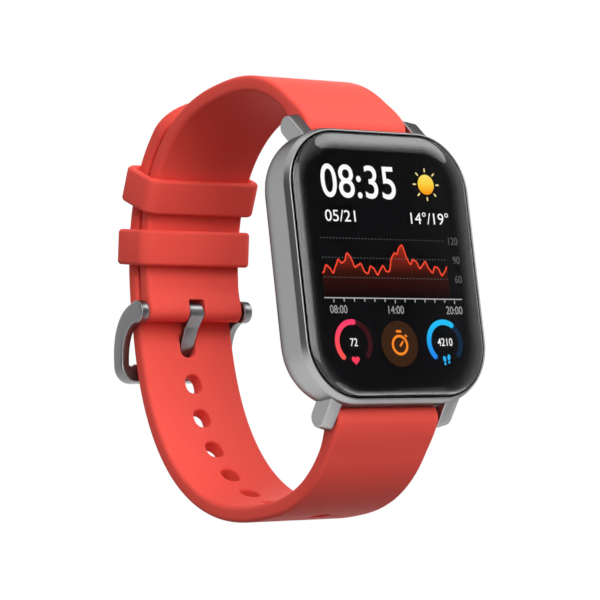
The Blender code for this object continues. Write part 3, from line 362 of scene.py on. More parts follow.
# %% The case's outline
CASE_WIDTH, CASE_HEIGHT, CASE_CORNER, CASE_DEPTH, CASE_SPLIT = 36.25, 43.25, 9.75, 8.7, 7.0
RIM_INSET, RIM_LIP, SHOULDER, WALL_END, WALL = 0.45, 0.22, 1.1, 4.1, 2.6
BACK_INSET, BACK_FULLNESS = 2.6, 1.12
SIDE_STOPS = 10
print(f"case {CASE_WIDTH} x {CASE_HEIGHT} mm, {CASE_DEPTH} mm deep")


def case_ring(depth, inset, steps=24):
    """The case's outline, drawn in; points along the straight sides keep reflections even there."""
    width, height = CASE_WIDTH - 2 * inset, CASE_HEIGHT - 2 * inset
    corners = rounded_rect(width, height, CASE_CORNER - inset, steps).reshape(4, -1, 2)
    outline = []
    for corner, after in zip(corners, np.roll(corners, -1, axis=0)):
        outline += [*corner, *np.linspace(corner[-1], after[0], SIDE_STOPS)[1:-1]]
    return [(x, depth, z) for x, z in outline]


def back_inset(depth):
    """How far the curved back of the case is drawn in at a depth."""
    share = (depth - WALL_END) / (CASE_DEPTH - WALL_END) / BACK_FULLNESS
    full = 1 - math.sqrt(1 - BACK_FULLNESS**-2)
    return BACK_INSET * (1 - math.sqrt(1 - share**2)) / full


# %% A lug
BAR_DEPTH, BAR_Z, BAR_REACH, BAR_HOLE = 5.85, 23.25, 11.9, 0.55
KNUCKLE, KNUCKLE_GAP = 1.9, 0.3
LUG_INNER, LUG_WIDTH, LUG_RADIUS, LUG_EDGE, LUG_SLANT = 10.3, 2.5, 1.6, 0.2, 0.15
LUG_ROOT, LUG_TIP = np.array((2.9, 19.525)), np.array((BAR_DEPTH + 0.4, BAR_Z + 0.1))


def lug(x_sign, z_sign):
    """A leaning bar with round ends, whose tip is drawn back towards its outer side."""
    lean = math.atan2(*(LUG_TIP - LUG_ROOT)[::-1])
    rings = []
    for x, radius in barrel(LUG_INNER, LUG_INNER + LUG_WIDTH, LUG_RADIUS, LUG_EDGE):
        end = LUG_TIP - (LUG_TIP - LUG_ROOT) * LUG_SLANT * (x - LUG_INNER) / LUG_WIDTH
        ring = []
        for centre, start in ((end, lean - math.pi / 2), (LUG_ROOT, lean + math.pi / 2)):
            for angle in np.linspace(start, start + math.pi, 25):
                depth = centre[0] + radius * math.cos(angle)
                ring.append((x_sign * x, depth, z_sign * (centre[1] + radius * math.sin(angle))))
        rings.append(ring)
    return skin("lug", rings)


# %% Build the case
GLASS_SEAT = 1.0
BUTTON_PLACE = (3.5, 0.0)
lip = RIM_INSET + RIM_LIP
profile = [(GLASS_SEAT, lip, 0), (0, lip, 0.06), (0, RIM_INSET, 0.09), (SHOULDER, 0, 1.0), (WALL_END, 0, 0)]
profile += [(depth, back_inset(depth), 0) for depth in np.linspace(WALL_END, CASE_SPLIT, 13)[1:-1]]
profile += [(CASE_SPLIT, back_inset(CASE_SPLIT), 0.12), (CASE_SPLIT, WALL, 0), (GLASS_SEAT, WALL, 0)]
case = skin("case", [case_ring(depth, inset) for depth, inset in filleted(profile, 7)], closed=True)
bars = [(BAR_DEPTH, BAR_Z), (BAR_DEPTH, -BAR_Z)]
steps = [bore(LUG_INNER + KNUCKLE_GAP, KNUCKLE + KNUCKLE_GAP, bar, 64) for bar in bars]
steps += [("UNION", lug(x_sign, z_sign)) for z_sign in (1, -1) for x_sign in (1, -1)]
steps += [bore(BAR_REACH, BAR_HOLE, bar, 24) for bar in bars]
seat = [(14.0, 1.4), (16.7, 1.4), (16.7, 2.25), (17.95, 2.25), (18.4, 2.6)]
steps.append(("DIFFERENCE", rod("seat", seat, BUTTON_PLACE)))
wear("case_shell", carve(case, *steps), "case_metal", "case", ["case_frame"], 28)

# %% [markdown]
# ## Glass
#
# The front glass is flat in the middle and curves down at its edge. A bevel would give that edge one
# radius, and a reflection in it one hard line. Here the edge follows a power curve that falls gently at
# first and steeply at the rim, in many steps, since a reflection shows every facet. The black border
# that real glass has printed under it hides the gasket and the case's ledge, so a thin black ring is
# laid just under it.

# %% Build the glass and its black border
GLASS_INSET, GLASS_BOTTOM, GLASS_CROWN, GLASS_CURVE, GLASS_POWER = 0.93, 0.45, 0.75, 3.9, 0.72
GLASS_EDGE, GLASS_FLAT = 0.12, GLASS_INSET + GLASS_CURVE
BORDER_TOP, BORDER_BACK, BORDER_WIDTH = 0.47, 0.5, 3.3
levels = [(GLASS_BOTTOM, GLASS_INSET + 0.6), (GLASS_BOTTOM, GLASS_INSET + GLASS_EDGE)]
levels.append((GLASS_BOTTOM - GLASS_EDGE, GLASS_INSET))
for share in np.linspace(0, 1, 26) ** 2:
    levels.append((-GLASS_CROWN * (1 - (1 - share) ** 2) ** GLASS_POWER, GLASS_INSET + GLASS_CURVE * share))
levels += [(-GLASS_CROWN, GLASS_FLAT + 0.1), (-GLASS_CROWN, GLASS_FLAT + 0.6)]
glass = skin("glass", [case_ring(depth, inset, 28) for depth, inset in levels])
wear("glass_front", glass, "glass", "case", ["front_glass"], 30)
near, far = lip + 0.02, BORDER_WIDTH
border = [(BORDER_TOP, near), (BORDER_TOP, far), (BORDER_BACK, far), (BORDER_BACK, near)]
ring = skin("border", [case_ring(depth, inset) for depth, inset in border], closed=True)
wear("glass_border", ring, "display", "case")

# %% [markdown]
# ## Back cover and sensor
#
# The black cover closes the case. A low round island carries the dark sensor window, and two gold
# contacts lie beside it. The cover is a skin like the case; the island is a turned shape joined on, and
# the window's seat is cut with another turned shape, so both stay true circles.

# %% Build the cover
COVER_TOP, COVER_WALL = 7.4, 0.8
CONTACT_X, CONTACT_Z = 2.5, -14.5
levels = [(COVER_TOP, back_inset(COVER_TOP) + 0.1)]
levels += [(depth, back_inset(depth)) for depth in np.linspace(COVER_TOP + 0.1, CASE_DEPTH - 0.12, 8)]
levels += [(CASE_DEPTH - 0.03, BACK_INSET + 0.06), (CASE_DEPTH, BACK_INSET + 0.3)]
cover = skin("cover", [case_ring(depth, inset) for depth, inset in levels])
island = [(12.0, 8.3), (12.0, 8.62), (11.94, 8.78), (10.95, 9.68), (10.75, 9.79), (10.6, 9.8)]
pocket = [case_ring(depth, WALL + COVER_WALL) for depth in (COVER_TOP - 2, CASE_DEPTH - COVER_WALL)]
window_seat = [(9.15, 8.95), (9.15, 9.72), (9.3, 9.85), (9.3, 12.0)]
steps = [("UNION", turned("island", island)), ("DIFFERENCE", skin("pocket", pocket))]
steps.append(("DIFFERENCE", turned("seat", window_seat)))
steps.append(("DIFFERENCE", turned("opening", [(7.5, 2.0), (7.5, 12.0)])))
contact_hole = [(1.05, 2.0), (1.05, 8.6), (1.2, 8.75), (1.2, 9.0)]
for x in (-CONTACT_X, CONTACT_X):
    steps.append(("DIFFERENCE", turned("hole", contact_hole, (x, CONTACT_Z), 48)))
wear("cover_back", carve(cover, *steps), "black_plastic", "case", ["rear_cover"])

# %% Build the sensor window and the contacts
lens = [(9.0, 9.05), (9.0, 9.6)]
lens += [(8.0 + math.cos(a), 9.6 + 0.3 * math.sin(a)) for a in np.linspace(0, math.pi / 2, 20)[1:]]
wear("sensor_lens", turned("lens", lens), "sensor_glass", "case", ["sensor_window"])
contact = [(0.9, 6.6), (0.9, 8.35), (0.84, 8.47), (0.7, 8.56), (0.45, 8.6)]
for number, x in ((1, -CONTACT_X), (2, CONTACT_X)):
    pin = turned("pin", contact, (x, CONTACT_Z), 40)
    wear(f"contact_pin_{number}", pin, "gold", "case", [f"charge_contact_{number}"])

# %% [markdown]
# ## Button
#
# The push button sits in a round seat on the 3 o'clock side. Its cap is turned with a soft rim and a
# shallow dish for the finger, and its stem goes on through the wall, so it can be pressed without
# leaving a hole.

# %% Build the button
stem = [(14.2, 0.7), (14.55, 0.7), (14.55, 0.45), (15.35, 0.45), (15.35, 0.7), (17.43, 0.7)]
rim = [(17.43, 1.85), (17.5, 1.95), (18.4, 1.95), (18.55, 1.9), (18.68, 1.78), (18.78, 1.6), (18.84, 1.38)]
dish = [(18.85, 1.2), (18.82, 0.8), (18.8, 0.4)]
cap = rod("cap", stem + rim + dish, BUTTON_PLACE, 64)
wear("button_cap", cap, "case_metal", "button", ["side_button"])

# %% [markdown]
# ## The loop
#
# The two strap halves follow one loop, a superellipse that is a little squarer than an ellipse. Each
# half is a path in (depth, z); a section is set square on it at many stops. A curve object with a bevel
# could do this too, but it can't change its section along the way. The strap is thicker at each end,
# where it wraps a bar, and its end is round: there the half thickness follows a circle.

# %% The loop's paths
LOOP_DEPTH, LOOP_TOP, LOOP_BOTTOM, LOOP_BACK, LOOP_POWER = 26.0, 33.9, 34.8, 27.8, 2.4
TAIL_END, TAIL_STEP, BACK_STEP = 38.5, 3.0, 3.45
PIN = np.array((53.8, 2.6))


def quarter(reach_depth, reach_z):
    angles = np.linspace(0.0, math.pi / 2, 900)
    depth = LOOP_DEPTH + reach_depth * np.cos(angles) ** (2 / LOOP_POWER)
    return np.stack((depth, reach_z * np.sin(angles) ** (2 / LOOP_POWER)), axis=1)


def front(reach_z):
    """The front quarter, which passes through the spring bar."""
    share = 1 - (BAR_Z / abs(reach_z)) ** LOOP_POWER
    path = quarter((BAR_DEPTH - LOOP_DEPTH) / share ** (1 / LOOP_POWER), reach_z)
    bar = ((BAR_DEPTH, math.copysign(BAR_Z, reach_z)),)
    return np.concatenate((bar, path[np.abs(path[:, 1]) > BAR_Z]))


def lengths(path):
    return np.concatenate(((0.0,), np.cumsum(np.hypot(*np.diff(path, axis=0).T))))


back = quarter(LOOP_BACK, LOOP_TOP)[::-1]
UPPER = np.concatenate((front(LOOP_TOP), back[1:][back[1:, 1] > PIN[1]], (PIN,)))
tail = quarter(LOOP_BACK + BACK_STEP, LOOP_TOP + TAIL_STEP)
under = quarter(LOOP_BACK + BACK_STEP, -LOOP_BOTTOM)[::-1]
LOWER = np.concatenate((front(-LOOP_BOTTOM), under[1:], tail[1:][tail[1:, 0] > TAIL_END]))
UPPER_LENGTH, LOWER_LENGTH = lengths(UPPER)[-1], lengths(LOWER)[-1]
print(f"upper strap {UPPER_LENGTH:.1f} mm, lower strap {LOWER_LENGTH:.1f} mm")


# %% Places along a path
def follow(path, along):
    """Points, directions and outward normals at distances along a path, which runs straight past its ends."""
    run = lengths(path)
    along = np.atleast_1d(np.asarray(along, float))

    def spot(distance):
        held = np.clip(distance, 0, run[-1])
        return np.stack([np.interp(held, run, path[:, k]) for k in (0, 1)], axis=1)

    held = np.clip(along, 0, run[-1])
    way = spot(held + 0.25) - spot(held - 0.25)
    way /= np.linalg.norm(way, axis=1)[:, None]
    points = spot(held) + way * (along - held)[:, None]
    normals = np.stack((-way[:, 1], way[:, 0]), axis=1)
    inward = np.einsum("ij,ij->i", normals, points - (LOOP_DEPTH, 0.0)) < 0
    normals[inward] *= -1
    return points, way, normals


def along_at(path, z):
    """Distance along a path where it reaches a height on the back of the loop."""
    side = path[:, 0] > LOOP_DEPTH
    return lengths(path)[np.argmin(np.where(side, np.abs(path[:, 1] - z), 999.0))]


def ease(share):
    share = np.clip(share, 0, 1)
    return share * share * (3 - 2 * share)


# %% The strap's skin
STRAP_WIDTH, STRAP_BACK, STRAP_HALF, STRAP_EDGE = 20.0, 19.0, 1.3, 0.7
BAR_BORE, PIN_KNUCKLE, PIN_BORE = 1.05, 1.75, 0.9
KNOB_X, KNOB_WIDTH, KNOB_HEIGHT, KNOB_FLARE = 6.85, 3.0, 1.5, 0.35
BEYOND = 15
ROUND_END = np.radians(np.linspace(12, 90, 10))[:-1]


def strap_skin(name, path, stops, widths, halves):
    points, _, normals = follow(path, stops)
    rings = []
    for point, normal, width, half in zip(points, normals, widths, halves):
        outline = rounded_rect(width, 2 * half, min(STRAP_EDGE, 0.48 * width, 0.9 * half), 6)
        rings.append([(x, *(point + normal * rise)) for x, rise in outline])
    return skin(name, rings)


def narrowing(share):
    """The strap's width, from the full one at the case to the smaller one at the buckle."""
    return STRAP_WIDTH + (STRAP_BACK - STRAP_WIDTH) * np.clip(share, 0, 1)


def release_window(path):
    """The slot on the wrist side that the quick-release knob slides in."""
    point, way, normal = (value[0] for value in follow(path, 0.0))
    rings = []
    for reach, grow in ((0.0, 0.0), (1.6, 0.0), (2.1, KNOB_FLARE), (5.0, KNOB_FLARE)):
        outline = rounded_rect(KNOB_WIDTH + 2 * grow, KNOB_HEIGHT + 2 * grow, 0.5 + grow, 6)
        rings.append([(KNOB_X + x, *(point - normal * reach + way * run)) for x, run in outline])
    return skin("window", rings)


# %% [markdown]
# ## Upper strap
#
# The 12 o'clock half runs over the wrist to the buckle pin. It has a bore for each bar, a slot for the
# tongue at the pin, and a small window inside for the quick-release knob. The bores are cut after the
# skin is made, because a skin with a hole through it would need rings that no longer match.

# %% Build the upper strap
SLOT_WIDTH, SLOT_LENGTH, SLOT_Z = 3.2, 5.25, 1.87
body = np.linspace(0, UPPER_LENGTH, 170)
pin_end = UPPER_LENGTH + PIN_KNUCKLE * np.cos(ROUND_END)[::-1]
stops = np.concatenate((-KNUCKLE * np.cos(ROUND_END), body, pin_end))
swell = (KNUCKLE - STRAP_HALF) * (1 - ease(body / 6))
swell += (PIN_KNUCKLE - STRAP_HALF) * (1 - ease((UPPER_LENGTH - body) / 4))
ends = (KNUCKLE * np.sin(ROUND_END), PIN_KNUCKLE * np.sin(ROUND_END)[::-1])
halves = np.concatenate((ends[0], STRAP_HALF + swell, ends[1]))
strap = strap_skin("strap", UPPER, stops, narrowing(stops / UPPER_LENGTH), halves)
slot_ring = rounded_rect(SLOT_WIDTH, SLOT_LENGTH, 0.5, 6)
slot = skin("slot", [[(x, depth, SLOT_Z + z) for x, z in slot_ring] for depth in (48.0, 60.0)])
strap = carve(
    strap,
    bore(BEYOND, BAR_BORE, (BAR_DEPTH, BAR_Z)),
    bore(BEYOND, PIN_BORE, PIN),
    ("DIFFERENCE", release_window(UPPER)),
    ("DIFFERENCE", slot),
)
wear("strap_upper", strap, "silicone", "upper_band", ["upper_strap"])

# %% [markdown]
# ## The tongue's line
#
# The tongue starts on the pin and bends out through the strap. Its line is a quadratic curve with one
# bend point, the same as in the CAD, because the slanted hole in the strap has to lie on it.

# %% Draw the line
FRAME_REACH, FRAME_DROP, FRAME_POWER = 7.0, 9.8, 2.3
TONGUE_EYE, TONGUE_BEND, TONGUE_REACH = 1.6, 4.0, 11.0
aim = np.array((FRAME_REACH, -FRAME_DROP))
start, bend = PIN + np.array((0.25, -0.6)) * TONGUE_EYE, PIN + np.array((0.2, -1.0)) * TONGUE_BEND
tip = PIN + aim / np.linalg.norm(aim) * TONGUE_REACH
share = np.linspace(0, 1, 41)[:, None]
TONGUE = (1 - share) ** 2 * start + 2 * share * (1 - share) * bend + share**2 * tip
gaps = np.linalg.norm(LOWER[:, None] - TONGUE[None], axis=2).min(axis=1)
ENTRY = lengths(LOWER)[np.argmin(gaps)]
print(f"the tongue meets the lower strap {ENTRY:.1f} mm along it")

# %% [markdown]
# ## Repeats with Geometry Nodes
#
# The strap's holes are one punch on many points. A small node tree does that: it takes points that
# carry their own turn, puts a copy of a piece on each, makes the copies real and gives them a material.
# A loop that copies meshes would do too, but the same tree later draws the dots and ticks of the
# screen, so a change of shape is made once.

# %% The repeat tree
def repeat_tree():
    tree = bpy.data.node_groups.new("Repeat on points", "GeometryNodeTree")
    sockets = {}
    for name, kind in (("Points", "Geometry"), ("Piece", "Object"), ("Finish", "Material")):
        socket = tree.interface.new_socket(name, in_out="INPUT", socket_type=f"NodeSocket{kind}")
        sockets[name] = socket.identifier
    tree.interface.new_socket("Geometry", in_out="OUTPUT", socket_type="NodeSocketGeometry")
    node, link = tree.nodes.new, tree.links.new
    given, out = node("NodeGroupInput"), node("NodeGroupOutput")
    piece, turn = node("GeometryNodeObjectInfo"), node("GeometryNodeInputNamedAttribute")
    turn.data_type = "FLOAT_VECTOR"
    turn.inputs["Name"].default_value = "turn"
    euler, copies = node("FunctionNodeEulerToRotation"), node("GeometryNodeInstanceOnPoints")
    real, paint = node("GeometryNodeRealizeInstances"), node("GeometryNodeSetMaterial")
    link(given.outputs["Piece"], piece.inputs["Object"])
    link(given.outputs["Points"], copies.inputs["Points"])
    link(piece.outputs["Geometry"], copies.inputs["Instance"])
    link(turn.outputs["Attribute"], euler.inputs["Euler"])
    link(euler.outputs["Rotation"], copies.inputs["Rotation"])
    link(copies.outputs["Instances"], real.inputs["Geometry"])
    link(real.outputs["Geometry"], paint.inputs["Geometry"])
    link(given.outputs["Finish"], paint.inputs["Material"])
    link(paint.outputs["Geometry"], out.inputs["Geometry"])
    return tree, sockets


REPEAT, REPEAT_SOCKETS = repeat_tree()


# %% Use the tree
def repeated(mesh, points, turns, material):
    """Copies of a mesh, drawn about the origin in metres, on points in millimetres."""
    cloud = bpy.data.meshes.new("points")
    cloud.from_pydata(row(points).tolist(), [], [])
    field = cloud.attributes.new("turn", "FLOAT_VECTOR", "POINT")
    field.data.foreach_set("vector", np.asarray(turns, np.float32).ravel())
    base, piece = holder(cloud), holder(mesh)
    modifier = base.modifiers.new("repeat", "NODES")
    modifier.node_group = REPEAT
    modifier[REPEAT_SOCKETS["Piece"]] = piece
    modifier[REPEAT_SOCKETS["Finish"]] = material
    made = applied(base)
    drop(base, piece)
    return made


# %% [markdown]
# ## Lower strap
#
# The 6 o'clock half passes under the wrist, up behind the buckle and ends in a round tip under the
# keepers. It is one skin from the bar at the case to the tip, and rides on no body. The holes' punch
# is flared at both ends, which leaves the soft rims that moulded silicone has.

# %% The lower strap's skin
TAIL_TIP = 8.0
tip_turns = np.radians(np.linspace(0, 88, 24))[1:]
straight = np.linspace(0, LOWER_LENGTH - TAIL_TIP, 250)
tip_stops = LOWER_LENGTH - TAIL_TIP + TAIL_TIP * np.sin(tip_turns)
stops = np.concatenate((-KNUCKLE * np.cos(ROUND_END), straight, tip_stops))
halves = np.full(len(stops), STRAP_HALF)
halves[: len(ROUND_END)] = KNUCKLE * np.sin(ROUND_END)
flat = stops >= 0
halves[flat] += (KNUCKLE - STRAP_HALF) * (1 - ease(stops[flat] / 6))
last = np.clip(stops - (LOWER_LENGTH - 1.0), 0, 0.98)
halves *= np.sqrt(1 - last**2)
widths = narrowing(stops / along_at(LOWER, 0.0))
widths[-len(tip_turns):] *= np.cos(tip_turns)
strap = strap_skin("strap", LOWER, stops, widths, halves)

# %% The holes
HOLE_WIDTH, HOLE_LENGTH, HOLE_RADIUS, HOLE_RIM, HOLE_STEP = 3.1, 3.2, 1.3, 0.28, 6.5
HOLES_BELOW, HOLES_ABOVE = 8, 3
SLANT_WIDTH, SLANT_LENGTH, SLANT_RADIUS, SLANT_RIM = 3.2, 1.7, 0.68, 0.3


def punch():
    """A flared punch about the origin, for the repeat tree."""
    turns = np.linspace(0, math.pi / 2, 5)
    inner = STRAP_HALF - HOLE_RIM
    flare = [(inner + HOLE_RIM * math.sin(a), HOLE_RIM * (1 - math.cos(a))) for a in turns]
    flare.append((2.4, HOLE_RIM))
    rings = []
    for height, grow in [(-height, grow) for height, grow in reversed(flare)] + flare:
        outline = rounded_rect(HOLE_WIDTH + 2 * grow, HOLE_LENGTH + 2 * grow, HOLE_RADIUS + grow, 8)
        rings.append([(x, SENSOR_DEPTH + height, run) for x, run in outline])
    return skin("punch", rings)


def slanted_punch():
    """The punch for the hole in use, which lies along the tongue."""
    slope = TONGUE[-1] - TONGUE[len(TONGUE) // 2]
    slope /= np.linalg.norm(slope)
    across = np.array((-slope[1], slope[0]))
    spot = follow(LOWER, ENTRY)[0][0]
    flare = [(1.4, 0.0), (2.0, SLANT_RIM), (4.2, SLANT_RIM)]
    rings = []
    for reach, grow in [(-reach, grow) for reach, grow in reversed(flare)] + flare:
        outline = rounded_rect(SLANT_WIDTH + grow, SLANT_LENGTH + grow, SLANT_RADIUS + grow / 2, 6)
        rings.append([(x, *(spot + across * run + slope * reach)) for x, run in outline])
    return skin("slanted", rings)


# %% Build the lower strap
numbers = range(-HOLES_BELOW, HOLES_ABOVE + 1)
spots, ways, _ = follow(LOWER, [ENTRY + HOLE_STEP * number for number in numbers])
turns = [(math.atan2(-way[0], way[1]), 0.0, 0.0) for way in ways]
holes = repeated(punch(), [(0.0, *spot) for spot in spots], turns, FINISH["silicone"])
strap = carve(
    strap,
    bore(BEYOND, BAR_BORE, (BAR_DEPTH, -BAR_Z)),
    ("DIFFERENCE", release_window(LOWER)),
    ("DIFFERENCE", holes),
    ("DIFFERENCE", slanted_punch()),
)
strap = wear("strap_lower", strap, "silicone", None, ["lower_strap"])
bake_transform(strap)

# %% [markdown]
# ## Keepers
#
# Two loops hold the tail. The wall of a keeper is a small rounded rectangle; it is swept round a bigger
# one that clears both strap layers, and stands square on the strap's path. The free one rides on its
# own body, so it can slide.

# %% Build the keepers
KEEPER_LENGTH, KEEPER_WALL, KEEPER_GAP, KEEPER_EDGE, KEEPER_CORNER = 6.0, 1.4, 0.35, 0.62, 0.9
FIXED_KEEPER_Z, FREE_KEEPER_Z = 13.3, 22.0


def keeper_skin(z):
    middle = along_at(UPPER, z)
    point, way, normal = (value[0] for value in follow(UPPER, middle))
    offset = LOWER - point
    rise = offset @ normal
    near = (np.abs(offset @ way) < KEEPER_LENGTH / 2) & (rise > 0) & (rise < 10)
    low, high = -STRAP_HALF - KEEPER_GAP, rise[near].max() + STRAP_HALF + KEEPER_GAP
    width = narrowing(middle / UPPER_LENGTH) + 2 * KEEPER_GAP
    rings = []
    for run, out in rounded_rect(KEEPER_LENGTH, KEEPER_WALL, KEEPER_EDGE, 6) + (0.0, KEEPER_WALL / 2):
        loop = rounded_rect(width + 2 * out, high - low + 2 * out, KEEPER_CORNER + out, 10)
        rings.append([(x, *(point + way * run + normal * ((low + high) / 2 + y))) for x, y in loop])
    return skin("keeper", rings, closed=True)


wear("keeper_fixed", keeper_skin(FIXED_KEEPER_Z), "silicone", "upper_band", ["fixed_keeper"])
wear("keeper_free", keeper_skin(FREE_KEEPER_Z), "silicone", "keeper", ["free_keeper"])

# %% [markdown]
# ## Buckle
#
# The buckle frame is one bent bar: down one arm, round a corner, across and back up. A curve with a
# bevel would twist at the corners, so the section's directions are given at each stop: its outward
# side always faces away from the wrist. Eyes are joined on for the pin, and a groove is cut where the
# tongue's tip comes to rest.

# %% The buckle frame's skin
ARM_X, ARM_WIDTH, ARM_DEEP, FRAME_CORNER, FRAME_EDGE = 10.65, 1.7, 3.5, 1.9, 0.42
CROSS_HEIGHT, CROSS_DEEP, CROSS_LIFT = 3.1, 2.6, 0.3


def arm_stops():
    """Places down the left arm, each with its sideways and outward directions, width and depth."""
    low = PIN[1] - FRAME_DROP
    angles = np.linspace(math.pi / 2, 0.0, 60)
    depth = PIN[0] + FRAME_REACH * np.cos(angles) ** (2 / FRAME_POWER)
    z = low + FRAME_DROP * np.sin(angles) ** (2 / FRAME_POWER)
    keep = z > low + FRAME_CORNER
    way = np.stack((np.gradient(depth[keep]), np.gradient(z[keep])), axis=1)
    way /= np.linalg.norm(way, axis=1)[:, None]
    deep = np.linspace(ARM_DEEP, CROSS_DEEP, len(way))
    return [
        ((-ARM_X, d, height), (-1, 0, 0), (0, -way_z, way_d), ARM_WIDTH, thick)
        for d, height, (way_d, way_z), thick in zip(depth[keep], z[keep], way, deep)
    ]


def corner_stops():
    """Places round the left corner, where the arm becomes the cross bar."""
    low = PIN[1] - FRAME_DROP
    stops = []
    for angle in np.radians(np.linspace(0, 90, 10)):
        grow = ease(angle / (math.pi / 2))
        x = -ARM_X + FRAME_CORNER * (1 - math.cos(angle))
        height = low + FRAME_CORNER * (1 - math.sin(angle)) + CROSS_LIFT * grow
        side_way = (-math.cos(angle), 0, -math.sin(angle))
        wide = ARM_WIDTH + (CROSS_HEIGHT - ARM_WIDTH) * grow
        stops.append(((x, PIN[0] + FRAME_REACH, height), side_way, (0, 1, 0), wide, CROSS_DEEP))
    return stops


def frame_skin():
    stops = arm_stops() + corner_stops()
    for (x, d, height), (way_x, way_d, way_z), out, wide, deep in stops[::-1]:
        stops.append(((-x, d, height), (-way_x, way_d, way_z), out, wide, deep))
    rings = []
    for spot, side_way, out, wide, deep in stops:
        outline = rounded_rect(wide, deep, FRAME_EDGE, 5)
        rings.append([np.array(spot) + np.array(side_way) * u + np.array(out) * v for u, v in outline])
    return skin("frame", rings)


# %% Build the buckle frame and its pin
EYE_INNER, EYE_OUTER, EYE_RADIUS = 9.8, 11.5, 1.9
PIN_REACH, PIN_RADIUS, PIN_END_GAP = 10.85, 0.75, 0.05
NOTCH_HALF, NOTCH_RADIUS = 1.6, 11.6
ring = carve(
    frame_skin(),
    ("UNION", rod("eye", barrel(-EYE_OUTER, -EYE_INNER, EYE_RADIUS, 0.35), PIN)),
    ("UNION", rod("eye", barrel(EYE_INNER, EYE_OUTER, EYE_RADIUS, 0.35), PIN)),
    bore(PIN_REACH + PIN_END_GAP, PIN_BORE, PIN),
    bore(NOTCH_HALF, NOTCH_RADIUS, PIN, 180),
)
wear("buckle_ring", ring, "buckle_steel", "buckle", ["buckle_frame"])
bar = rod("pin", barrel(-PIN_REACH, PIN_REACH, PIN_RADIUS, 0.15), PIN)
wear("pin_bar", bar, "steel", "upper_band", ["buckle_pin"])

# %% [markdown]
# ### Tongue
#
# A real tongue is a flat strip, rolled round the pin and bent into its hole. It could be one swept
# strip, but a strip that closes on itself leaves a seam. So it is three shapes joined: an eye round the
# pin, the shank along the tongue's line, and a wrap on the wrist's side that takes the step out between
# them.

# %% Build the tongue
TONGUE_WIDTH, TONGUE_THICK, TONGUE_EDGE, WRAP_EDGE = 2.75, 1.1, 0.3, 0.25


def shank_skin():
    way = np.gradient(TONGUE, axis=0)
    way /= np.linalg.norm(way, axis=1)[:, None]
    rings = []
    for i, (spot, ahead) in enumerate(zip(TONGUE, way)):
        end = math.sqrt(1 - max(0.0, (i - 38) / 2.2) ** 2)
        thick = TONGUE_THICK * (1 - 0.2 * i / 40) * (0.5 + 0.5 * end)
        outline = rounded_rect(TONGUE_WIDTH * (0.6 + 0.4 * end), thick, TONGUE_EDGE, 5)
        rings.append([(x, *(spot + np.array((-ahead[1], ahead[0])) * rise)) for x, rise in outline])
    return skin("shank", rings)


def wrap_skin():
    front_side = PIN - (TONGUE_EYE, 0.0)
    corners = [(front_side, 0), (front_side - (0.0, 0.9), 0.8), (TONGUE[15], 0), (PIN + (0.6, -0.6), 0)]
    outline = filleted([(*spot, radius) for spot, radius in corners])
    middle = outline.mean(axis=0)
    side, inner = TONGUE_WIDTH / 2, TONGUE_WIDTH / 2 - WRAP_EDGE
    rings = []
    for x, share in ((-side, 0.975), (-inner, 1.0), (inner, 1.0), (side, 0.975)):
        rings.append([(x, *(middle + (spot - middle) * share)) for spot in outline])
    return skin("wrap", rings)


tongue = carve(
    rod("eye", barrel(-TONGUE_WIDTH / 2, TONGUE_WIDTH / 2, TONGUE_EYE, 0.2), PIN),
    ("UNION", shank_skin()),
    ("UNION", wrap_skin()),
    bore(3, PIN_BORE, PIN),
)
wear("tongue_prong", tongue, "buckle_steel", "tongue", ["tongue"])

# %% [markdown]
# ## Screen
#
# The lit picture could be an image, but an image has a fixed sharpness and someone drew it. Here it is
# made of thin shapes that glow, laid between the panel and the glass: lettering from Blender's own
# font, a chart from a formula, and two gauges. They are real shapes under real glass, so they shift as
# the view changes.
#
# A glow is a Principled shader with a black base and an emission. A gradient is a colour ramp along one
# axis of the object's coordinates.

# %% Glows
def srgb(code):
    """A colour as painters write it, #rrggbb, in the linear values that shaders use."""
    shares = [int(code[i:i + 2], 16) / 255 for i in (1, 3, 5)]
    return [c / 12.92 if c <= 0.04045 else ((c + 0.055) / 1.055) ** 2.4 for c in shares]


def new_nodes(tree, *kinds):
    return [tree.nodes.new(f"ShaderNode{kind}") for kind in kinds]


def glow(name, *codes, span=(0, 1)):
    """One even colour, or a ramp between several over a span in millimetres along Z."""
    made = bpy.data.materials.new(name)
    made.use_nodes = True
    tree = made.node_tree
    shader = tree.nodes["Principled BSDF"]
    shader.inputs["Base Color"].default_value = (0, 0, 0, 1)
    shader.inputs["Specular IOR Level"].default_value = 0
    shader.inputs["Emission Strength"].default_value = 1.06
    shader.inputs["Emission Color"].default_value = (*srgb(codes[0]), 1)
    if len(codes) == 1:
        return made
    place, parts, spread, ramp = new_nodes(tree, "TexCoord", "SeparateXYZ", "MapRange", "ValToRGB")
    spread.inputs["From Min"].default_value = span[0] * 0.001
    spread.inputs["From Max"].default_value = span[1] * 0.001
    while len(ramp.color_ramp.elements) < len(codes):
        ramp.color_ramp.elements.new(0.5)
    for i, code in enumerate(codes):
        ramp.color_ramp.elements[i].position = i / (len(codes) - 1)
        ramp.color_ramp.elements[i].color = (*srgb(code), 1)
    tree.links.new(place.outputs["Object"], parts.inputs[0])
    tree.links.new(parts.outputs["Z"], spread.inputs["Value"])
    tree.links.new(spread.outputs["Result"], ramp.inputs["Fac"])
    tree.links.new(ramp.outputs["Color"], shader.inputs["Emission Color"])
    return made


# %% Flat shapes
LAYERS = {"low": (0.531, 0.54), "middle": (0.522, 0.53), "high": (0.513, 0.521), "top": (0.504, 0.512)}
TOP, THIN = LAYERS["top"][0], LAYERS["top"][1] - LAYERS["top"][0]


def plate(outline, layer):
    """A thin plate in a layer of the screen, from an outline in (x, z)."""
    return skin("plate", [[(x, depth, z) for x, z in outline] for depth in LAYERS[layer]])


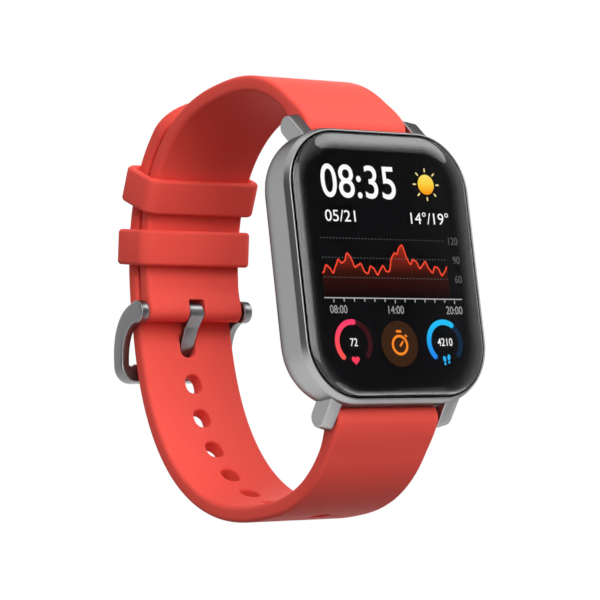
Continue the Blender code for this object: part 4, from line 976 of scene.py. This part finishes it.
def chip(width, height, radius, steps, rise=0.0, thick=THIN):
    """A thin rounded plate about the origin, for the repeat tree."""
    outline = rounded_rect(width, height, radius, steps) + (0.0, rise)
    return skin("chip", [[(x, SENSOR_DEPTH + depth, z) for x, z in outline] for depth in (0.0, thick)])


def ribbon(near, far, layer):
    """A thin strip between two lines of (x, z) points."""
    high, deep = LAYERS[layer]
    rings = []
    for (x, z), (far_x, far_z) in zip(near, far):
        rings.append([(x, high, z), (far_x, high, far_z), (far_x, deep, far_z), (x, deep, z)])
    return skin("ribbon", rings)


def sector(centre, inner, outer, start, end, layer):
    """Part of a ring, angles in degrees from 12 o'clock, clockwise."""
    turn = np.radians(np.linspace(start, end, max(6, int(abs(end - start) / 3))))
    ways = np.stack((np.sin(turn), np.cos(turn)), axis=1)
    return ribbon(centre + inner * ways, centre + outer * ways, layer)


def disc(centre, radius, layer, wide=1.0, turn=0.0):
    """A disc, or an oval if wide isn't 1, turned by an angle in degrees."""
    flat = circle(40) * (radius * wide, radius)
    cos, sin = math.cos(math.radians(turn)), math.sin(math.radians(turn))
    return plate(flat @ np.array(((cos, sin), (-sin, cos))) + centre, layer)


# %% Lettering
def lettering(text, bold):
    curve = bpy.data.curves.new("lettering", "FONT")
    curve.body = text
    curve.offset = bold
    curve.space_character = 1.0 + 2 * bold
    curve.extrude = 0.01
    target = bpy.data.objects.new("lettering", curve)
    bpy.context.scene.collection.objects.link(target)
    mesh = applied(target)
    drop(target)
    points = np.zeros(len(mesh.vertices) * 3)
    mesh.vertices.foreach_get("co", points)
    return mesh, points.reshape(-1, 3)


def label(text, x, z, height, anchor=0.0, narrow=0.86, bold=0.0, width=None):
    """Lettering that stands on z, with digits that tall; anchor 0 starts it at x, 0.5 centres, 1 ends it."""
    probe, digit = lettering("0", bold)
    bpy.data.meshes.remove(probe)
    foot, tall = digit[:, 1].min(), np.ptp(digit[:, 1])
    mesh, points = lettering(text, bold)
    scale = height / tall
    across = scale * narrow
    if width:
        across = width / np.ptp(points[:, 0])
    left = x - anchor * across * np.ptp(points[:, 0])
    high, deep = LAYERS["top"]
    made = np.empty_like(points)
    made[:, 0] = left + (points[:, 0] - points[:, 0].min()) * across
    made[:, 1] = np.where(points[:, 2] > 0, high, deep)
    made[:, 2] = z + (points[:, 1] - foot) * scale
    mesh.vertices.foreach_set("co", row(made).ravel())
    return mesh


# %% Show shapes on the screen
SCREEN_X = 0.3


def show(name, look, *meshes):
    """Joins thin shapes into one glowing piece of the screen, pushed to the screen's own middle."""
    work = bmesh.new()
    for mesh in meshes:
        work.from_mesh(mesh)
        bpy.data.meshes.remove(mesh)
    bmesh.ops.remove_doubles(work, verts=work.verts, dist=1e-8)
    bmesh.ops.recalc_face_normals(work, faces=work.faces)
    bmesh.ops.translate(work, vec=(SCREEN_X * 0.001, 0, 0), verts=work.verts)
    mesh = bpy.data.meshes.new(name)
    work.to_mesh(mesh)
    work.free()
    wear(name, mesh, "display", "case", look=look)


# %% [markdown]
# ### Time, date and weather
#
# The built-in font is light and wide, so the time is narrowed and its outline is pushed out until it
# reads as a bold condensed face. The sun is a disc with eight rays, one ray repeated on one point with
# eight turns.

# %% Draw the upper part
TIME_FOOT, TIME_HEIGHT, DATE_FOOT, DATE_HEIGHT = 10.35, 5.3, 6.6, 1.8
SUN, SUN_RADIUS, SUN_RAYS = np.array((8.85, 13.0)), 1.62, 8
white = glow("white_glow", "#ffffff")
show("time", white, label("08:35", -12.0, TIME_FOOT, TIME_HEIGHT, width=14.6, bold=0.006))
date = label("05/21", -11.9, DATE_FOOT, DATE_HEIGHT, width=5.9)
warmth = label("14\u00b0/19\u00b0", 12.7, DATE_FOOT, DATE_HEIGHT, 1.0, width=7.7)
show("date", white, date, warmth)
sun_glow = glow("sun_glow", "#ff8a00", "#ffd23c", "#ffe66e", span=(11.3, 14.7))
show("sun", sun_glow, disc(SUN, SUN_RADIUS, "top"))
ray = chip(0.24, 0.66, 0.11, 4, rise=2.32)
turns = [(0, number * math.tau / SUN_RAYS, 0) for number in range(SUN_RAYS)]
rays = repeated(ray, [(SUN[0], TOP, SUN[1])] * SUN_RAYS, turns, white)
show("sun_rays", glow("ray_glow", "#ffe9a0"), rays)

# %% [markdown]
# ### Chart
#
# The heart-rate line is a formula, three soft bumps and two waves, so it needs no table of values. The
# strip under it fades to dark towards the axis. Dots, ticks and their numbers make the grid.

# %% Draw the chart's line
BUMPS = ((-8.6, 2.0, 1.9), (1.9, 3.6, 1.7), (5.6, 1.1, 2.6))
AXIS, LINE_HALF = -5.35, 0.13


def beat(x):
    bumps = sum(tall * np.exp(-((x - at) / wide) ** 2) for at, tall, wide in BUMPS)
    return -0.95 + bumps + 0.62 * np.sin(2.9 * x + 0.4) + 0.12 * np.sin(7.3 * x + 1.0)


along = np.linspace(-13.6, 11.3, 240)
line = np.stack((along, beat(along)), axis=1)
way = np.gradient(line, axis=0)
side = np.stack((-way[:, 1], way[:, 0]), axis=1) / np.linalg.norm(way, axis=1)[:, None]
stroke = ribbon(line + LINE_HALF * side, line - LINE_HALF * side, "top")
show("chart_line", glow("line_glow", "#f0492e"), stroke)
foot_line = np.stack((along, np.full(len(along), AXIS + 0.2)), axis=1)
fill_glow = glow("fill_glow", "#0d0403", "#35100a", "#942819", span=(-5.3, 2.8))
show("chart_fill", fill_glow, ribbon(line, foot_line, "middle"))

# %% Draw the chart's grid
LEVELS = {"120": 3.98, "90": 0.93, "60": -2.15}
HOURS = (("08:00", -12.9, 0.0), ("14:00", 0.0, 0.5), ("20:00", 13.4, 1.0))
AXIS_LEFT, AXIS_RIGHT, AXIS_HALF = -13.7, 13.6, 0.08
LONG_TICK = 0.18
dots = [(x, LAYERS["high"][0], z) for z in LEVELS.values() for x in np.arange(-13.2, 11.6, 0.62)]
dot = chip(0.22, 0.16, 0.06, 2, thick=0.006)
show("chart_dots", glow("dot_glow", "#5e5e62"), repeated(dot, dots, [(0, 0, 0)] * len(dots), white))
ticks = []
for number, x in enumerate(np.arange(-12.0, 12.1, 2.0)):
    ticks.append((x, TOP, AXIS - 0.3 - (LONG_TICK if number % 6 == 0 else 0)))
marks = repeated(chip(0.16, 0.55, 0.06, 2), ticks, [(0, 0, 0)] * len(ticks), white)
edges = [[(x, AXIS + rise) for x in (AXIS_LEFT, AXIS_RIGHT)] for rise in (AXIS_HALF, -AXIS_HALF)]
show("chart_axis", glow("axis_glow", "#b9b9bb"), marks, ribbon(*edges, "middle"))
numbers = [label(text, 14.0, z - 0.6, 1.2, 1.0) for text, z in LEVELS.items()]
show("chart_scale", glow("scale_glow", "#606064"), *numbers)
hours = [label(text, x, -7.75, 1.25, anchor) for text, x, anchor in HOURS]
show("chart_hours", glow("hour_glow", "#a6a6a8"), *hours)

# %% [markdown]
# ### Gauges
#
# Each gauge is a dark ring, open at the bottom, with a brighter part of the same ring above it. The
# icons are plain signs: a heart, a stopwatch and two footprints.

# %% Draw the gauges
GAUGE_INNER, GAUGE_OUTER, GAUGE_END, GAUGE_START = 2.75, 3.62, 0.43, -135
LEFT, MIDDLE, RIGHT = np.array((-9.0, -12.25)), np.array((0.0, -12.45)), np.array((9.1, -12.2))
for name, centre, track, codes, share, value in (
    ("pulse", LEFT, "#3b141a", ("#ff5a4a", "#ff3f6e"), 0.52, "72"),
    ("steps", RIGHT, "#0d2740", ("#1f7bf0", "#22c3f7"), 0.62, "4210"),
):
    dark = sector(centre, GAUGE_INNER, GAUGE_OUTER, GAUGE_START, -GAUGE_START, "low")
    show(f"{name}_track", glow(f"{name}_track", track), dark)
    reached = GAUGE_START - 2 * GAUGE_START * share
    lit = sector(centre, GAUGE_INNER, GAUGE_OUTER, GAUGE_START, reached, "middle")
    ends = []
    for angle in np.radians((GAUGE_START, reached)):
        way = np.array((math.sin(angle), math.cos(angle)))
        ends.append(disc(centre + (GAUGE_INNER + GAUGE_OUTER) / 2 * way, GAUGE_END, "middle"))
    lit_glow = glow(f"{name}_glow", *codes, span=(-15.5, -9.0))
    show(f"{name}_arc", lit_glow, lit)
    show(f"{name}_arc_ends", lit_glow, *ends)
    show(f"{name}_value", white, label(value, *(centre + (0.0, -0.6)), 1.25, 0.5, bold=0.004))

# %% Draw the icons
ICON_DROP = 2.75
angles = np.linspace(0, math.tau, 48, endpoint=False)
rise = 13 * np.cos(angles) - 5 * np.cos(2 * angles) - 2 * np.cos(3 * angles) - np.cos(4 * angles)
heart = np.stack((16 * np.sin(angles) ** 3, rise), axis=1) * 0.048 + LEFT - (0.0, ICON_DROP)
show("heart_icon", glow("heart_glow", "#ff3f5e"), plate(heart, "top"))
feet = []
for x_sign in (-1, 1):
    spot = RIGHT + (x_sign * 0.45, -ICON_DROP + 0.12 * x_sign)
    feet.append(disc(spot + (0.0, 0.22), 0.48, "top", 0.62, -8 * x_sign))
    feet.append(disc(spot + (-0.04 * x_sign, -0.55), 0.22, "top", 0.9))
show("feet_icon", glow("feet_glow", "#29b6f6"), *feet)
show("workout_disc", glow("disc_glow", "#3a2314"), disc(MIDDLE, GAUGE_OUTER, "low"))
stopwatch = [sector(MIDDLE + (0, -0.2), 1.2, 1.62, 0, 359, "top")]
for near, far in (
    (((-0.5, 1.75), (0.5, 1.75)), ((-0.5, 2.15), (0.5, 2.15))),
    (((1.05, 1.25), (1.4, 0.95)), ((1.3, 1.5), (1.65, 1.2))),
    (((-0.14, -0.3), (0.55, 0.5)), ((0.14, -0.5), (0.8, 0.3))),
):
    stopwatch.append(ribbon(MIDDLE + near, MIDDLE + far, "top"))
show("stopwatch_icon", glow("stopwatch_glow", "#ff8b26"), *stopwatch)

# %% [markdown]
# ## Background
#
# The background is white to the camera, to reflections and through glass, while the world lights the
# watch at a lower level that fades towards the ground. More light would make the background white too,
# but it would wash out the watch. Light Path's rays tell the two apart.

# %% The world
def shown_background(tree):
    """A value of 1 for rays that show the background: the camera's, mirrored ones and those through glass."""
    path = tree.nodes.new("ShaderNodeLightPath")
    shown = path.outputs["Is Camera Ray"]
    for name in ("Is Glossy Ray", "Is Transmission Ray"):
        shown = math_node(tree, "MAXIMUM", shown, path.outputs[name])
    return shown


world = bpy.data.worlds.new("studio")
bpy.context.scene.world = world
world.use_nodes = True
tree = world.node_tree
tree.nodes.clear()
out, mix, dim, bright = new_nodes(tree, "OutputWorld", "MixShader", "Background", "Background")
bright.inputs["Color"].default_value = (1, 1, 1, 1)
sky, parts, level = new_nodes(tree, "TexCoord", "SeparateXYZ", "MapRange")
for socket, value in (("From Min", -1.0), ("From Max", 1.0), ("To Min", 0.08), ("To Max", 0.42)):
    level.inputs[socket].default_value = value
tree.links.new(sky.outputs["Generated"], parts.inputs[0])
tree.links.new(parts.outputs["Z"], level.inputs["Value"])
tree.links.new(level.outputs["Result"], dim.inputs["Color"])
tree.links.new(shown_background(tree), mix.inputs[0])
tree.links.new(dim.outputs[0], mix.inputs[1])
tree.links.new(bright.outputs[0], mix.inputs[2])
tree.links.new(mix.outputs[0], out.inputs["Surface"])
print("world:", len(tree.nodes), "nodes")

# %% [markdown]
# ## Lamps, cards and floor
#
# Soft lamps as in a small studio: a wide key at the upper left, one high above, a soft one in front
# that draws the bright band along the glass, a small one at the right for the glass's top edge, and one
# behind. Dark cards with soft edges stand where the glass and the metal would otherwise mirror the
# white room, as a photographer sets them; only reflections and glass see them. The floor is pale where
# it is seen and keeps the watch's shadow.

# %% Lamps and cards
def lamp(name, place, size, watts, spread=180):
    data = bpy.data.lights.new(name, "AREA")
    data.shape = "DISK"
    data.size = size
    data.energy = watts
    data.spread = math.radians(spread)
    made = bpy.data.objects.new(name, data)
    made.location = place
    made.rotation_euler = (Vector((0, 0.015, 0)) - Vector(place)).to_track_quat("-Z", "Y").to_euler()
    bpy.context.scene.collection.objects.link(made)


def card(name, place, width, height, material):
    """A sheet that faces the watch and isn't part of it."""
    mesh = bpy.data.meshes.new(name)
    x, y = width / 2, height / 2
    mesh.from_pydata([(-x, -y, 0), (x, -y, 0), (x, y, 0), (-x, y, 0)], [], [(0, 1, 2, 3)])
    corners = mesh.uv_layers.new(name="card").data
    for corner, place_on in zip(corners, ((0, 0), (1, 0), (1, 1), (0, 1))):
        corner.uv = place_on
    turn = (Vector((0, 0, 0)) - Vector(place)).to_track_quat("Z", "Y").to_matrix().to_4x4()
    mesh.transform(Matrix.Translation(place) @ turn)
    mesh.materials.append(material)
    made = holder(mesh)
    return made


# %% The cards' and the floor's finishes
def soft_flag(name, bottom=0.42):
    """A black finish that fades out towards the edges of a card, over a given share of it at the bottom."""
    made = finish(name, (0.01, 0.01, 0.01), 0.9)
    tree = made.node_tree
    place, parts = new_nodes(tree, "UVMap", "SeparateXYZ")
    tree.links.new(place.outputs["UV"], parts.inputs[0])
    fades = []
    for way, first in (("X", 0.42), ("Y", bottom)):
        ramp = tree.nodes.new("ShaderNodeValToRGB")
        ramp.color_ramp.interpolation = "EASE"
        ramp.color_ramp.elements[1].position = first
        for position, level in ((0.75, 1.0), (1.0, 0.0)):
            ramp.color_ramp.elements.new(position).color = (level, level, level, 1)
        tree.links.new(parts.outputs[way], ramp.inputs["Fac"])
        fades.append(ramp.outputs["Color"])
    tree.links.new(math_node(tree, "MULTIPLY", *fades), tree.nodes["Principled BSDF"].inputs["Alpha"])
    return made


def pale_floor(name):
    """A finish that is pale where it is seen, takes shadows, and can be looked through from below."""
    made = finish(name, (0.8, 0.8, 0.8), 0.9)
    tree = made.node_tree
    shader = tree.nodes["Principled BSDF"]
    shader.inputs["Emission Color"].default_value = (0.55, 0.55, 0.55, 1)
    tree.links.new(shown_background(tree), shader.inputs["Emission Strength"])
    side, clear, mix = new_nodes(tree, "NewGeometry", "BsdfTransparent", "MixShader")
    tree.links.new(side.outputs["Backfacing"], mix.inputs[0])
    tree.links.new(shader.outputs[0], mix.inputs[1])
    tree.links.new(clear.outputs[0], mix.inputs[2])
    tree.links.new(mix.outputs[0], tree.nodes["Material Output"].inputs["Surface"])
    return made


# %% Set the stage
lamp("key", (-0.35, -0.49, 0.42), 0.45, 1.85)
lamp("high", (0.0, 0.03, 0.6), 0.4, 0.4)
lamp("front", (-0.16, -0.67, 0.11), 0.62, 0.8, 75)
lamp("top", (0.36, -0.33, 0.34), 0.35, 0.4, 90)
lamp("back", (0.30, 0.50, 0.25), 0.5, 1.2)
floor = card("floor", (0.0, 0.0, -0.11), 6.0, 6.0, pale_floor("floor_pale"))
floor.visible_diffuse = False
shade = soft_flag("flag_dark")
flags = (
    card("front_flag", (0.106, -0.17, 0.012), 0.25, 0.24, soft_flag("flag_front", 0.12)),
    card("side_flag", (-0.42, 0.03, 0.067), 0.46, 0.6, shade),
    card("high_flag", (0.30, 0.15, 0.37), 0.46, 0.46, shade),
    card("low_flag", (0.065, -0.05, -0.10), 0.1, 0.1, shade),
)
for flag in flags:
    flag.visible_camera = False
    flag.visible_diffuse = False
    flag.visible_shadow = False
print(len(bpy.data.lights), "lamps,", len(flags), "dark cards and a floor")

# %% [markdown]
# ## Camera
#
# A long lens from below and to the left of the case, as a product photographer stands. Its three
# directions are written down rather than a target, because a camera that is tilted a little has no
# simple target.

# %% Place the camera
CAMERA_PLACE, CAMERA_LENS, CAMERA_SENSOR = (-0.27269, -0.33973, -0.07131), 168, 36
camera = bpy.data.objects.new("camera", bpy.data.cameras.new("camera"))
bpy.context.scene.collection.objects.link(camera)
ahead = Vector((0.60354, 0.78205, 0.15539)).normalized()
right = Vector((0.79727, -0.59445, -0.10483))
right = (right - ahead * right.dot(ahead)).normalized()
up = right.cross(ahead)
turn = Matrix((right, up, -ahead)).transposed().to_4x4()
camera.matrix_world = Matrix.Translation(CAMERA_PLACE) @ turn
camera.data.lens = CAMERA_LENS
camera.data.sensor_width = CAMERA_SENSOR
camera.data.clip_start = 0.01
bpy.context.scene.camera = camera
bpy.context.scene.view_settings.view_transform = "Standard"
print(f"camera {Vector(CAMERA_PLACE).length:.2f} m from the watch")
